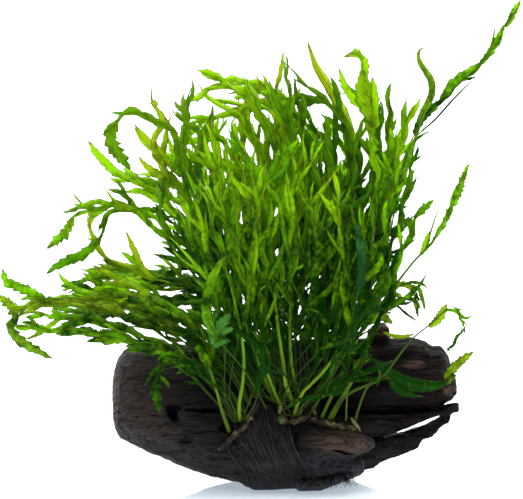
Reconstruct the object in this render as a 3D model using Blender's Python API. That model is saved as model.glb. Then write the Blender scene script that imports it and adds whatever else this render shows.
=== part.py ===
"""African water fern grown onto a piece of driftwood.

Metres, +Z up, +X to the right of the front, -Y toward the front. The origin is
the middle of the flat patch of the belly that the driftwood rests on.

Routes and outlines are laid out in millimetres as the front shows them from a
little above level: across to the right and up, both from the middle of the
whole plant, and depth toward the back. spot() turns such a place into metres.
"""

import math
import random

import bmesh
import bpy
from mathutils import Matrix, Vector
from mathutils.bvhtree import BVHTree

MM = 0.001
FRONT_TILT = math.radians(8.0)
MIDDLE_TO_PATCH_ACROSS = 12.0
MIDDLE_TO_PATCH_UP = 116.5

# Driving sizes of the driftwood, in millimetres
TRUNK_ROUGHNESS = 1.7
LIMB_ROUGHNESS = 0.9
SLAB_ROUGHNESS = 0.7
PLANK_ROUGHNESS = 0.2
FORK_PLANE = 28.0
FORK_BLEND_START = -6.0
FORK_GAP = 0.35
CLEARANCE = 0.35

# Depths at which the front view sees the low and the high edge of each part of the driftwood
THICK_PART_SEEN = (-15.0, 10.0)
FRONT_SLAB_SEEN = (-15.0, -15.0)
SPLINTER_SEEN = (-5.0, 8.0)
REAR_STUB_SEEN = (15.0, 15.0)
PROBE_DEPTH = -120.0
PROBE_HEIGHT = 200.0

# Driving sizes of the plant, in millimetres
RHIZOME_RADIUS = 1.9
RHIZOME_LIFT = 3.5
REAR_RHIZOME_LIFT = 2.8
ROOT_RADIUS = 1.4
ROOT_TAPER = 1.0
STALK_HALF_WIDTH = 0.95
STALK_HALF_THICKNESS = 0.8
TIP_HALF_WIDTH = 0.4
TIP_HALF_THICKNESS = 0.35
LEAFLET_HALF_FOOT = 1.4
LEAFLET_HALF_THICKNESS = 0.35
LEAFLET_FOOT_ANGLE = math.radians(40.0)
LEAFLET_TIP_ANGLE = math.radians(15.0)
LEAFLET_FREE_START = 3.4
NEAR_STALK_GIVE = 0.25
LEAFLET_FULLNESS = 1.3
LEAFLET_MIDDLE = 0.45
LEAFLET_SWAY = 9.0
LEAFLET_LENGTHS = (0.8, 1.1)
LEAFLET_WIDTHS = (0.8, 1.15)
LEAFLET_START = 0.35
SIMPLE_LEAF_HALF_WIDTHS = (0.9, 2.6, 3.6, 2.8)
END_LEAFLET_HALF_WIDTH = 1.7
STALK_STEPS = 3
SQUARE_TO_ROUND = 0.75
SQUARE_TURN = math.radians(45.0)
REAR_FOOT_LIFT = 6.6
RIGHT_RHIZOME_DEPTH = -26.0
ROOT_LIFT = 2.6
CURVE_STEPS = 10
BEND_TRIES = 40
BEND_STEP = 1.1
GOLDEN_TURN = 2.399963
SHORTER_LEAFLETS = (1.0, 0.8, 0.62)
SHORTEST_LEAFLET = 6.5


def spot(across, up, depth):
    """Turn a place of the front view, in millimetres, into metres."""
    height = (up + MIDDLE_TO_PATCH_UP - depth * math.sin(FRONT_TILT)) / math.cos(FRONT_TILT)
    return Vector((across - MIDDLE_TO_PATCH_ACROSS, depth, height)) * MM


# Materials

def material(name, colour, roughness):
    made = bpy.data.materials.new(name)
    made.use_nodes = True
    shader = made.node_tree.nodes["Principled BSDF"]
    shader.inputs["Base Color"].default_value = (*colour, 1.0)
    shader.inputs["Roughness"].default_value = roughness
    shader.inputs["Metallic"].default_value = 0.0
    made.diffuse_color = (*colour, 1.0)
    return made


def driftwood_material():
    return material("driftwood", (0.040, 0.028, 0.022), 0.6)


def knot_wood_material():
    return material("knot_wood", (0.075, 0.045, 0.032), 0.7)


def rhizome_material():
    return material("rhizome", (0.200, 0.140, 0.045), 0.7)


def root_material():
    return material("root", (0.030, 0.020, 0.014), 0.8)


def deep_leaf_material():
    return material("leaf_deep_green", (0.040, 0.150, 0.008), 0.4)


def green_leaf_material():
    return material("leaf_green", (0.090, 0.290, 0.010), 0.4)


def yellow_leaf_material():
    return material("leaf_yellow_green", (0.260, 0.450, 0.014), 0.4)


# Shared shape helpers

def add_object(name, bm, surface):
    """Close the end that the shape grew from and put it in the scene under its own name."""
    bmesh.ops.holes_fill(bm, edges=[edge for edge in bm.edges if edge.is_boundary])
    bmesh.ops.triangulate(bm, faces=bm.faces)
    bmesh.ops.recalc_face_normals(bm, faces=bm.faces)
    if bm.calc_volume(signed=True) < 0.0:
        bmesh.ops.reverse_faces(bm, faces=bm.faces)
    mesh = bpy.data.meshes.new(name)
    bm.to_mesh(mesh)
    bm.free()
    mesh.materials.append(surface)
    made = bpy.data.objects.new(name, mesh)
    bpy.context.scene.collection.objects.link(made)
    return made


def tree_of(made):
    """A search tree of an object's finished surface."""
    depsgraph = bpy.context.evaluated_depsgraph_get()
    return BVHTree.FromObject(made, depsgraph)


def smooth_route(points):
    """A dense curve that passes through every point of a route."""
    ends = [2 * points[0] - points[1], *points, 2 * points[-1] - points[-2]]
    curve = []
    for before, start, stop, after in zip(ends, ends[1:], ends[2:], ends[3:]):
        for step in range(CURVE_STEPS):
            t = step / CURVE_STEPS
            curve.append(0.5 * (
                2 * start + (stop - before) * t
                + (2 * before - 5 * start + 4 * stop - after) * t ** 2
                + (3 * start - 3 * stop + after - before) * t ** 3))
    curve.append(points[-1].copy())
    return curve


def at_share(curve, share):
    """The place and heading at a share of a curve's length."""
    lengths = [(b - a).length for a, b in zip(curve, curve[1:])]
    left = share * sum(lengths)
    for index, length in enumerate(lengths):
        if left <= length or index == len(lengths) - 1:
            heading = (curve[index + 1] - curve[index]).normalized()
            return curve[index] + heading * left, heading
        left -= length


def frame_matrix(place, side, face, heading, half_width, half_thickness):
    """A matrix that takes a unit square into a cross-section on the curve."""
    frame = Matrix((side * half_width, face * half_thickness, heading)).transposed().to_4x4()
    frame.translation = place
    return frame


def carry_frames(curve, shares, half_widths, half_thicknesses, turn):
    """Cross-sections along a curve that don't twist, the first turned on its axis."""
    heading = at_share(curve, shares[0])[1]
    side = heading.cross(Vector((0.0, -1.0, 0.0))).normalized()
    side = Matrix.Rotation(turn, 3, heading) @ side
    frames = []
    for share, width, thickness in zip(shares, half_widths, half_thicknesses):
        place, heading = at_share(curve, share)
        side = (side - heading * side.dot(heading)).normalized()
        face = heading.cross(side)
        frames.append(frame_matrix(place, side, face, heading, width * MM, thickness * MM))
    return frames


def extrude_end(bm, end, old_frame, new_frame):
    """Grow one end face from a cross-section to the next one."""
    end = bmesh.ops.extrude_discrete_faces(bm, faces=[end])["faces"][0]
    bmesh.ops.transform(bm, matrix=new_frame @ old_frame.inverted(), verts=end.verts)
    return end


def square_start(bm, frame):
    """The square end face that a stalk or a tube starts from."""
    ring = bmesh.ops.create_circle(
        bm, cap_ends=True, segments=4, radius=math.sqrt(2.0),
        matrix=frame @ Matrix.Rotation(SQUARE_TURN, 4, "Z"))["verts"]
    return ring[0].link_faces[0]


# Driftwood: each part of it is a row of cross-sections along the grain

def grain_offset(point, station, strength):
    """Long ridges along the grain, the same for every run of the script."""
    ridge = math.sin(2.3 * point + 0.021 * station) + 0.6 * math.sin(4.1 * point - 0.034 * station)
    bump = 0.5 * math.sin(0.11 * station + 1.7 * point)
    return strength * (ridge + bump)


def blended_profile(profile, end_profile, share):
    """A profile part of the way toward the one that a piece ends with."""
    return [
        (a[0] + (b[0] - a[0]) * share, a[1] + (b[1] - a[1]) * share)
        for a, b in zip(profile, end_profile)]


def wood_section(profile, station, strength, seen_depths):
    """One cross-section: across, front, back, low and high, in millimetres.

    seen_depths are the depths at which the front view sees its low and high edges.
    """
    across, front, back, low, high = station
    middle_depth = 0.5 * (front + back)
    half_depth = 0.5 * (back - front)
    bottom = spot(across, low, seen_depths[0]).z / MM
    top = spot(across, high, seen_depths[1]).z / MM
    ring = []
    for index, (toward_back, toward_top) in enumerate(profile):
        rough = grain_offset(index, across, strength)
        depth = middle_depth + toward_back * (half_depth + rough)
        height = bottom + toward_top * (top - bottom)
        height += (toward_top - 0.5) * rough
        ring.append(Vector((across - MIDDLE_TO_PATCH_ACROSS, depth, max(height, 0.0))) * MM)
    return ring


def wood_piece(name, profile, stations, surface, strength, seen_depths, end_profile=None):
    """A row of cross-sections; its profile may change past the middle of the plant."""
    bm = bmesh.new()
    rings = []
    for station in stations:
        share = min(1.0, max(0.0, (station[0] - FORK_BLEND_START) / (FORK_PLANE - FORK_BLEND_START)))
        ring_profile = blended_profile(profile, end_profile, share) if end_profile else profile
        rings.append(wood_section(ring_profile, station, strength, seen_depths))
    end = bm.faces.new([bm.verts.new(place) for place in rings[0]])
    for ring in rings[1:]:
        end = bmesh.ops.extrude_discrete_faces(bm, faces=[end])["faces"][0]
        for vert, place in zip(end.verts, ring):
            vert.co = place
    return add_object(name, bm, surface)


TRUNK_PROFILE = [
    (-0.35, 0.00), (0.35, 0.00), (0.75, 0.10), (0.97, 0.30), (1.00, 0.55), (0.90, 0.80),
    (0.60, 0.96), (0.15, 1.00), (-0.25, 0.97), (-0.55, 0.86), (-0.78, 0.66), (-0.93, 0.45),
    (-1.00, 0.25), (-0.80, 0.07)]
TRUNK_END_PROFILE = [
    (-0.35, 0.00), (0.35, 0.00), (0.75, 0.10), (0.97, 0.30), (1.00, 0.55), (0.92, 0.80),
    (0.65, 0.96), (0.22, 1.00), (-0.10, 0.96), (-0.26, 0.82), (-0.34, 0.60), (-0.70, 0.47),
    (-0.98, 0.36), (-0.90, 0.07)]
TRUNK_STATIONS = [
    (-74.0, -16.0, 20.0, -82.0, -62.0),
    (-73.2, -24.0, 28.0, -90.5, -55.0),
    (-70.5, -29.0, 33.0, -95.0, -50.5),
    (-66.0, -32.0, 36.0, -97.5, -47.5),
    (-56.0, -35.0, 38.0, -102.0, -46.5),
    (-46.0, -37.0, 39.0, -105.0, -47.0),
    (-36.0, -39.0, 40.0, -109.0, -47.5),
    (-26.0, -40.0, 40.0, -112.5, -47.0),
    (-14.0, -41.0, 40.0, -115.5, -47.5),
    (-4.0, -42.0, 39.0, -121.0, -48.0),
    (8.0, -42.0, 38.0, -121.0, -48.0),
    (18.0, -41.0, 37.0, -121.0, -47.5),
    (FORK_PLANE - FORK_GAP, -40.0, 37.0, -121.0, -47.0)]


def knot_hole_cutter():
    """The deep hole on the left, where a branch rotted out."""
    bm = bmesh.new()
    bmesh.ops.create_icosphere(bm, subdivisions=1, radius=1.0)
    bmesh.ops.scale(bm, vec=Vector((3.6, 9.0, 5.4)) * MM, verts=bm.verts)
    bmesh.ops.rotate(bm, matrix=Matrix.Rotation(math.radians(-24.0), 3, "Y"), verts=bm.verts)
    bmesh.ops.translate(bm, vec=spot(-44.0, -82.0, -36.0), verts=bm.verts)
    return cutter_object("knot_hole_cutter", bm)


def grain_crack_cutter():
    """The crack that runs from the hole along the grain."""
    bm = bmesh.new()
    bmesh.ops.create_cone(
        bm, cap_ends=True, segments=4, radius1=2.4 * MM, radius2=0.5 * MM, depth=22.0 * MM)
    bmesh.ops.rotate(bm, matrix=Matrix.Rotation(math.radians(93.0), 3, "Y"), verts=bm.verts)
    bmesh.ops.translate(bm, vec=spot(-32.5, -80.0, -37.5), verts=bm.verts)
    return cutter_object("grain_crack_cutter", bm)


def cutter_object(name, bm):
    cutter = add_object(name, bm, driftwood_look)
    cutter.hide_render = True
    cutter.display_type = "WIRE"
    return cutter


def driftwood_trunk():
    trunk = wood_piece(
        "driftwood_trunk", TRUNK_PROFILE, TRUNK_STATIONS, driftwood_look, TRUNK_ROUGHNESS,
        THICK_PART_SEEN, TRUNK_END_PROFILE)
    for cutter in (knot_hole_cutter(), grain_crack_cutter()):
        cut = trunk.modifiers.new(cutter.name, "BOOLEAN")
        cut.operation = "DIFFERENCE"
        cut.solver = "EXACT"
        cut.object = cutter
    return trunk


LIMB_PROFILE = [
    (-0.50, 0.02), (0.45, 0.00), (0.92, 0.22), (1.00, 0.62), (0.70, 0.94), (0.05, 1.00),
    (-0.62, 0.92), (-0.97, 0.62), (-0.95, 0.24)]


def driftwood_rear_limb():
    """The thick upper limb at the back, with its knobby broken end."""
    stations = [
        (FORK_PLANE, -10.0, 37.0, -79.0, -47.0),
        (40.0, -11.0, 37.0, -79.0, -46.5),
        (54.0, -11.0, 37.0, -81.5, -46.0),
        (67.0, -10.0, 36.0, -82.0, -45.5),
        (76.0, -9.0, 35.0, -81.6, -45.0),
        (82.0, -8.0, 33.0, -81.2, -46.5),
        (86.0, -8.0, 31.0, -80.6, -49.5),
        (90.0, -7.0, 29.0, -77.0, -48.8),
        (93.5, -4.0, 25.0, -75.5, -53.5),
        (95.6, 0.0, 20.0, -73.5, -60.0),
        (96.8, 3.0, 16.0, -71.5, -65.5)]
    return wood_piece(
        "driftwood_rear_limb", LIMB_PROFILE, stations, driftwood_look, LIMB_ROUGHNESS, THICK_PART_SEEN)


def driftwood_front_slab():
    """The low front limb, which ends in a worn brown edge."""
    stations = [
        (FORK_PLANE, -39.0, -13.0, -121.0, -88.3),
        (34.0, -38.0, -13.0, -121.0, -88.7),
        (40.0, -36.0, -13.0, -117.0, -89.5),
        (47.0, -33.0, -14.0, -112.0, -91.5),
        (52.0, -30.0, -15.0, -106.0, -93.5),
        (55.5, -26.0, -17.0, -99.5, -95.0)]
    return wood_piece(
        "driftwood_front_slab", LIMB_PROFILE, stations, knot_wood_look, SLAB_ROUGHNESS, FRONT_SLAB_SEEN)


PLANK_PROFILE = [(-0.9, 0.0), (0.9, 0.0), (1.0, 0.5), (0.85, 1.0), (-0.85, 1.0), (-1.0, 0.5)]


def driftwood_spike():
    """The long thin splinter between the upper limb and the lower one."""
    stations = [
        (FORK_PLANE, -9.0, 30.0, -97.6, -80.5),
        (42.0, -9.0, 30.0, -97.0, -80.5),
        (56.0, -8.0, 24.0, -94.0, -80.5),
        (68.0, -6.0, 14.0, -91.0, -80.3),
        (79.0, -5.0, 9.0, -87.0, -80.0),
        (89.5, -4.0, 7.0, -83.4, -79.3),
        (95.5, -3.0, 5.0, -81.9, -77.8),
        (97.8, -2.0, 3.0, -80.8, -78.4)]
    return wood_piece(
        "driftwood_spike", PLANK_PROFILE, stations, driftwood_look, PLANK_ROUGHNESS, SPLINTER_SEEN)


def driftwood_lower_limb():
    """The lower limb, stepped and splintered at its end."""
    stations = [
        (FORK_PLANE, -12.0, 31.0, -117.0, -98.6),
        (42.0, -12.0, 31.0, -113.0, -98.2),
        (56.0, -12.0, 27.0, -109.5, -95.6),
        (61.0, -11.0, 22.0, -106.5, -94.4),
        (70.0, -8.0, 14.0, -103.8, -92.2),
        (79.0, -6.0, 10.0, -100.0, -89.0),
        (80.6, -6.0, 9.0, -96.0, -88.4),
        (86.5, -5.0, 8.0, -94.5, -86.2),
        (90.0, -4.0, 7.0, -90.0, -84.8),
        (94.6, -3.0, 5.0, -87.0, -83.4)]
    return wood_piece(
        "driftwood_lower_limb", PLANK_PROFILE, stations, driftwood_look, PLANK_ROUGHNESS, SPLINTER_SEEN)


def driftwood_rear_stub():
    """The short broken stub that stands up behind the leaves."""
    stations = [
        (53.5, 8.0, 21.0, -43.6, -41.0),
        (57.0, 6.0, 23.0, -43.6, -38.2),
        (62.0, 6.0, 23.0, -43.3, -37.2),
        (64.5, 8.0, 21.0, -43.3, -39.5)]
    return wood_piece(
        "driftwood_rear_stub", PLANK_PROFILE, stations, knot_wood_look, PLANK_ROUGHNESS, REAR_STUB_SEEN)


# Rhizomes and roots lie on the wood, so their depth comes from its surface

def touch_wood(across, up, lift):
    """The place on the wood that the front view shows there, lifted toward the viewer."""
    look = Vector((0.0, math.cos(FRONT_TILT), -math.sin(FRONT_TILT)))
    start = spot(across, up, PROBE_DEPTH)
    hits = [tree.ray_cast(start, look) for tree in wood_trees]
    near = min((hit for hit in hits if hit[0] is not None), key=lambda hit: hit[3])
    return near[0] - look * lift * MM


def tube(bm, curve, steps, radius_at):
    """A four-sided tube along a curve, with its thickness given by a function."""
    shares = [step / steps for step in range(steps + 1)]
    radii = [SQUARE_TO_ROUND * radius_at(share) for share in shares]
    frames = carry_frames(curve, shares, radii, radii, SQUARE_TURN)
    end = square_start(bm, frames[0])
    for old_frame, new_frame in zip(frames, frames[1:]):
        end = extrude_end(bm, end, old_frame, new_frame)


def lumpy(radius, lumps):
    """A thickness that swells at each old leaf foot and rounds off at both ends."""
    def radius_at(share):
        rounded = min(1.0, 0.45 + 6.0 * share, 0.45 + 6.0 * (1.0 - share))
        return radius * rounded * (1.0 + 0.22 * math.sin(lumps * math.tau * share))
    return radius_at


def rhizome(name, route, steps, lumps):
    bm = bmesh.new()
    tube(bm, smooth_route(route), steps, lumpy(RHIZOME_RADIUS, lumps))
    return add_object(name, bm, rhizome_look)


def left_rhizome():
    """The golden rhizome that creeps up the front of the wood on the left."""
    places = [(-21.5, -99.0), (-14.0, -93.0), (-8.0, -87.0), (-3.0, -80.0), (0.0, -74.5)]
    return rhizome("rhizome_left", [touch_wood(*place, RHIZOME_LIFT) for place in places], 12, 4)


def middle_rhizome():
    """The short rhizome in the middle of the front, with its growing bud."""
    places = [(5.0, -84.0), (10.0, -85.5), (16.0, -87.0), (22.0, -86.0)]
    return rhizome("rhizome_middle", [touch_wood(*place, RHIZOME_LIFT) for place in places], 8, 3)


def right_rhizome():
    """The rhizome that lies along the top of the front slab."""
    places = [(29.5, -87.0), (35.0, -87.6), (41.0, -88.8), (47.5, -90.6)]
    return rhizome("rhizome_right", [spot(*place, RIGHT_RHIZOME_DEPTH) for place in places], 9, 4)


def on_top(across, depth, lift):
    """The place on top of the wood there, lifted straight up."""
    start = Vector((across - MIDDLE_TO_PATCH_ACROSS, depth, PROBE_HEIGHT)) * MM
    hits = [tree.ray_cast(start, Vector((0.0, 0.0, -1.0))) for tree in wood_trees]
    top = max(hit[0].z for hit in hits if hit[0] is not None)
    return Vector((start.x, start.y, top + lift * MM))


def rear_rhizome():
    """The rhizome that creeps over the top of the wood behind the front ones."""
    places = [(-17.0, 7.0), (2.0, 9.0), (20.0, 6.0), (40.0, 11.0)]
    return rhizome("rhizome_rear", [on_top(*place, REAR_RHIZOME_LIFT) for place in places], 12, 5)


def clinging_route(places, lift, steps):
    """A route that follows the surface of the wood below a curve of the front view."""
    flat = smooth_route([Vector((across, up, 0.0)) for across, up in places])
    route = []
    for step in range(steps + 1):
        place = at_share(flat, step / steps)[0]
        route.append(touch_wood(place.x, place.y, lift))
    return route


ROOT_STRANDS = [
    [(-7.0, -93.0), (-8.5, -101.0), (-11.0, -109.0)],
    [(0.0, -87.0), (0.0, -96.0), (1.0, -106.0), (3.0, -113.0)],
    [(8.0, -91.0), (13.0, -101.0), (20.0, -108.0), (26.0, -113.0)]]


def root_strand(name, places):
    """One of the thick bundles of dark roots that cling to the front of the wood."""
    bm = bmesh.new()
    tube(bm, clinging_route(places, ROOT_LIFT, 8), 6, lambda share: ROOT_RADIUS - ROOT_TAPER * share)
    return add_object(name, bm, root_look)


# Fronds: a stalk that runs on as a midrib, with leaflets up both sides of it

def envelope(foot, middle, tip, ring_axes, half_width, margin):
    """The space that a leaflet takes up, a little larger than the leaflet itself."""
    across_leaf, face = ring_axes
    corners = []
    for place, width in ((foot, 0.5 * (LEAFLET_HALF_FOOT + half_width)), (middle, half_width)):
        for sign_a, sign_b in ((1, 1), (-1, 1), (-1, -1), (1, -1)):
            corner = place + across_leaf * sign_a * (width + margin) * MM
            corners.append(corner + face * sign_b * (LEAFLET_HALF_THICKNESS + margin) * MM)
    corners.append(tip + (tip - middle).normalized() * margin * MM)
    faces = [(0, 3, 2, 1)]
    for index in range(4):
        following = (index + 1) % 4
        faces.append((index, following, following + 4, index + 4))
        faces.append((index + 4, following + 4, 8))
    return corners, faces


def stalk_envelope(frames, margin=CLEARANCE):
    """The space that a stalk takes up, as a tube a little thicker than the stalk."""
    corners = []
    faces = []
    for frame in frames:
        place = frame.translation
        side = frame.col[0].xyz
        face = frame.col[1].xyz
        side = side.normalized() * (side.length + margin * MM)
        face = face.normalized() * (face.length + margin * MM)
        corners += [place + side + face, place - side + face, place - side - face, place + side - face]
    for ring in range(len(frames) - 1):
        for index in range(4):
            first = 4 * ring + index
            second = 4 * ring + (index + 1) % 4
            faces.append((first, second, second + 4, first + 4))
    return BVHTree.FromPolygons(corners, faces)


def meets(tree, trees):
    return any(tree.overlap(other) for other in trees)


def frond_frames(curve, bare, pairs, turn, simple):
    """Cross-sections of a frond, and which pairs of them carry leaflets."""
    length = sum((b - a).length for a, b in zip(curve, curve[1:])) / MM
    foot = LEAFLET_HALF_FOOT / length
    shares = [bare * step / STALK_STEPS for step in range(STALK_STEPS)]
    widths = [STALK_HALF_WIDTH] * STALK_STEPS
    leafy = []
    if simple:
        for step, width in enumerate(SIMPLE_LEAF_HALF_WIDTHS):
            shares.append(bare + (1.0 - bare) * step / len(SIMPLE_LEAF_HALF_WIDTHS))
            widths.append(width * simple)
    for pair in range(pairs):
        middle = bare + (1.0 - bare) * (pair + LEAFLET_START) / (pairs + LEAFLET_START)
        leafy.append(len(shares))
        taper = STALK_HALF_WIDTH + (TIP_HALF_WIDTH - STALK_HALF_WIDTH) * (pair + 1) / (pairs + 1)
        shares += [middle - foot, middle + foot]
        widths += [taper, taper]
    if pairs:
        shares.append(0.5 * (shares[-1] + 1.0))
        widths.append(END_LEAFLET_HALF_WIDTH)
    shares.append(1.0)
    widths.append(TIP_HALF_WIDTH)
    thicknesses = [
        STALK_HALF_THICKNESS + (TIP_HALF_THICKNESS - STALK_HALF_THICKNESS) * share for share in shares]
    return carry_frames(curve, shares, widths, thicknesses, turn), leafy, length


def leaflet_shape(lower, upper, sign, reach, bend):
    """Foot, middle and tip of a leaflet that leans toward the frond's tip."""
    heading = 0.5 * (lower.col[2].xyz + upper.col[2].xyz)
    side = lower.col[0].xyz.normalized() * sign
    face = lower.col[1].xyz.normalized()
    foot = 0.5 * (lower.translation + upper.translation) + side * lower.col[0].xyz.length
    first = heading * math.cos(LEAFLET_FOOT_ANGLE + bend) + side * math.sin(LEAFLET_FOOT_ANGLE + bend)
    second = heading * math.cos(LEAFLET_TIP_ANGLE + bend) + side * math.sin(LEAFLET_TIP_ANGLE + bend)
    first = (first + face * bend).normalized()
    second = (second - face * 0.5 * bend).normalized()
    middle = foot + first * reach * LEAFLET_MIDDLE * MM
    tip = middle + second * reach * (1.0 - LEAFLET_MIDDLE) * MM
    return foot, middle, tip, heading, side, face, first


def add_leaflet(bm, foot_face, shape, half_width, sign):
    """Grow a leaflet out of one small face on the side of the midrib."""
    foot, middle, tip, heading, side, face, first = shape
    across_leaf = first.cross(face).normalized() * sign
    old_frame = frame_matrix(foot, heading, face, side, LEAFLET_HALF_FOOT * MM, MM)
    new_frame = frame_matrix(middle, across_leaf, face, first, half_width * MM, MM)
    end = extrude_end(bm, foot_face, old_frame, new_frame)
    end = bmesh.ops.extrude_discrete_faces(bm, faces=[end])["faces"][0]
    bmesh.ops.pointmerge(bm, verts=end.verts, merge_co=tip)


def bent_curve(points, attempt):
    """A route pushed a little sideways, so that a stalk passes beside its neighbours."""
    push = BEND_STEP * math.sqrt(attempt) * MM
    angle = GOLDEN_TURN * attempt
    offset = Vector((0.6 * math.cos(angle), math.sin(angle), 0.0)) * push
    bent = []
    for index, place in enumerate(points):
        weight = math.sin(math.pi * index / (len(points) - 1)) ** 0.5 if index else 0.0
        bent.append(place + offset * weight)
    return smooth_route(bent)


def frond(name, surface, route, bare, pairs, reach, broad, turn=0.0, simple=0.0):
    """One leaf. bare is the stalk's share of its length, reach a leaflet's longest length."""
    seed = random.Random(name)
    turn = math.radians(turn)
    for attempt in range(BEND_TRIES):
        curve = bent_curve(route, attempt)
        frames, leafy, length = frond_frames(curve, bare, pairs, turn, simple)
        if not meets(stalk_envelope(frames), solid_trees):
            break
    own_leaflets = []
    bm = bmesh.new()
    end = square_start(bm, frames[0])
    feet = []
    for index, (old_frame, new_frame) in enumerate(zip(frames, frames[1:])):
        end = extrude_end(bm, end, old_frame, new_frame)
        if index not in leafy:
            continue
        side = old_frame.col[0].xyz
        middle = 0.5 * (old_frame.translation + new_frame.translation)
        flanks = [face for edge in end.edges for face in edge.link_faces if face != end]
        flanks.sort(key=lambda flank: (flank.calc_center_median() - middle).dot(side))
        own_stalk = [
            stalk_envelope(frames[:index]), stalk_envelope(frames[index + 3:]),
            stalk_envelope(frames[max(0, index - 2):index + 5], -NEAR_STALK_GIVE)]
        feet.append((old_frame, new_frame, flanks[0], flanks[-1], own_stalk))
    for number, (lower, upper, left_foot, right_foot, own_stalk) in enumerate(feet):
        fullness = math.sin(math.pi * (number + 0.9) / (len(feet) + 0.8)) ** 0.5
        for sign, foot_face in ((-1, left_foot), (1, right_foot)):
            bend = math.radians(seed.uniform(-LEAFLET_SWAY, LEAFLET_SWAY))
            wanted = reach * fullness * seed.uniform(*LEAFLET_LENGTHS)
            half_width = LEAFLET_FULLNESS * broad * seed.uniform(*LEAFLET_WIDTHS)
            for share in SHORTER_LEAFLETS:
                if wanted * share < SHORTEST_LEAFLET:
                    continue
                shape = leaflet_shape(lower, upper, sign, wanted * share, bend)
                foot, middle, tip, _, _, face, first = shape
                across_leaf = face.cross(first).normalized()
                leaving = min(LEAFLET_FREE_START * MM, 0.6 * (middle - foot).length)
                off_foot = foot + (middle - foot).normalized() * leaving
                space = BVHTree.FromPolygons(
                    *envelope(off_foot, middle, tip, (across_leaf, face), half_width, CLEARANCE))
                if meets(space, solid_trees + own_stalk + own_leaflets):
                    continue
                add_leaflet(bm, foot_face, shape, half_width, sign)
                own_leaflets.append(space)
                break
    made = add_object(name, bm, surface)
    solid_trees.append(tree_of(made))
    return made


def front_route(foot, *places):
    """A route from a foot on the front of the wood through places of the front view."""
    across, up, lift = foot
    return [touch_wood(across, up, lift), *[spot(*place) for place in places]]


def slab_route(foot, *places):
    """A route from a foot on the rhizome that lies on the front slab."""
    across, up = foot
    return [spot(across, up, RIGHT_RHIZOME_DEPTH), *[spot(*place) for place in places]]


def rear_route(foot, *places):
    """A route from a foot on top of the rear rhizome through places of the front view."""
    across, depth = foot
    start = on_top(across, depth, REAR_FOOT_LIFT)
    return [start, *[spot(*place) for place in places]]


# Each frond: look, stalk's share, leaflet pairs, longest leaflet, its half width, turn, simple
# leaf's fullness, then the foot and the places that the stalk and midrib pass through

def left_fronds():
    frond("frond_left_low_drooping", yellow_leaf, front_route(
        (-9.0, -80.5, 1.8), (-24, -58, -42), (-48, -40, -34), (-80, -29, -26), (-108, -26.5, -22),
        (-120, -30, -20), (-125, -41, -20), (-115, -48, -20), (-104, -54.5, -20)), 0.42, 5, 17, 1.9)
    frond("frond_left_low_upper", green_leaf, front_route(
        (-6.0, -77.0, 1.8), (-20, -52, -30), (-45, -32, -20), (-70, -22, -10), (-95, -24, -4),
        (-112, -23, 0), (-124, -18, 2), (-129, -14.5, 2), (-129.5, -10, 2)), 0.42, 6, 20, 2.0, 20)
    frond("frond_left_low_front", green_leaf, front_route(
        (-13.0, -85.5, 1.8), (-26, -66, -50), (-46, -52, -46), (-70, -44, -42), (-90, -40.5, -42),
        (-108, -39.5, -42), (-122, -38, -42)), 0.42, 6, 18, 1.9, -15)
    frond("frond_left_low_inner", deep_leaf, front_route(
        (-3.4, -73.5, 1.8), (-15, -50, -16), (-38, -32, 6), (-65, -27, 18), (-88, -31, 24),
        (-106, -31, 28)), 0.45, 5, 18, 2.0, 10)
    frond("frond_left_middle_rear", green_leaf, rear_route(
        (-12.0, 5.0), (-20, -28, 14), (-36, -18, 26), (-56, -13, 36), (-76, -13, 44),
        (-92, -16, 50)), 0.35, 6, 17, 2.0)
    frond("frond_left_upright", yellow_leaf, rear_route(
        (-9.0, 6.5), (-20, -22, 10), (-42, -18, 14), (-62, -12, 16), (-76, -5, 16),
        (-84, 3, 16), (-86, 12, 16), (-87, 19, 16)), 0.5, 4, 14, 1.7, 15)
    frond("frond_left_long_drooping", green_leaf, front_route(
        (-0.8, -70.5, 1.8), (-11, -44, -29), (-28, -10, -28), (-42, 5, -30), (-58, 15, -30),
        (-74, 20.5, -34), (-87, 21, -36), (-93, 15, -36), (-97, 8.5, -36), (-106, 0.5, -36)),
        0.5, 6, 17, 2.0, 12)
    frond("frond_left_hanging", deep_leaf, rear_route(
        (-6.0, 7.5), (-14, -26, -6), (-30, 2, -8), (-50, 17, -12), (-66, 20, -14), (-75, 18, -16),
        (-79, 9, -17), (-84, 1, -18), (-93, -5, -19), (-107, -12, -20)), 0.5, 4, 13, 1.8, -10)
    frond("frond_left_upper_pointed", green_leaf, rear_route(
        (-3.0, 8.5), (-14, -24, 18), (-26, 4, 26), (-40, 22, 30), (-52, 32, 32), (-66, 34, 34),
        (-75, 40, 35), (-81, 47, 36), (-87.5, 55, 37)), 0.42, 6, 17, 1.9)
    frond("frond_left_arch", deep_leaf, front_route(
        (1.8, -67.5, 1.8), (-10, -40, -30), (-26, 0, -36), (-36, 25, -38), (-43, 42, -40),
        (-49, 56, -42), (-56, 65, -44), (-64, 66.5, -46), (-71, 60, -47), (-72, 52, -47),
        (-68, 45, -47), (-63, 39, -47)), 0.52, 5, 13, 2.1, 10)
    frond("frond_left_yellow_upright", yellow_leaf, rear_route(
        (0.0, 9.5), (-10, -20, -4), (-26, 8, -10), (-42, 30, -14), (-52, 46, -16), (-54, 58, -18),
        (-52, 68, -18), (-54.5, 80, -18)), 0.45, 5, 20, 2.0)
    frond("frond_left_dark_upright", deep_leaf, front_route(
        (5.0, -69.5, 1.8), (-6, -46, -24), (-24, -10, -26), (-34, 15, -26), (-38.5, 45, -26),
        (-38, 64, -26), (-34, 81, -26)), 0.45, 6, 18, 2.0, -20)


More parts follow.
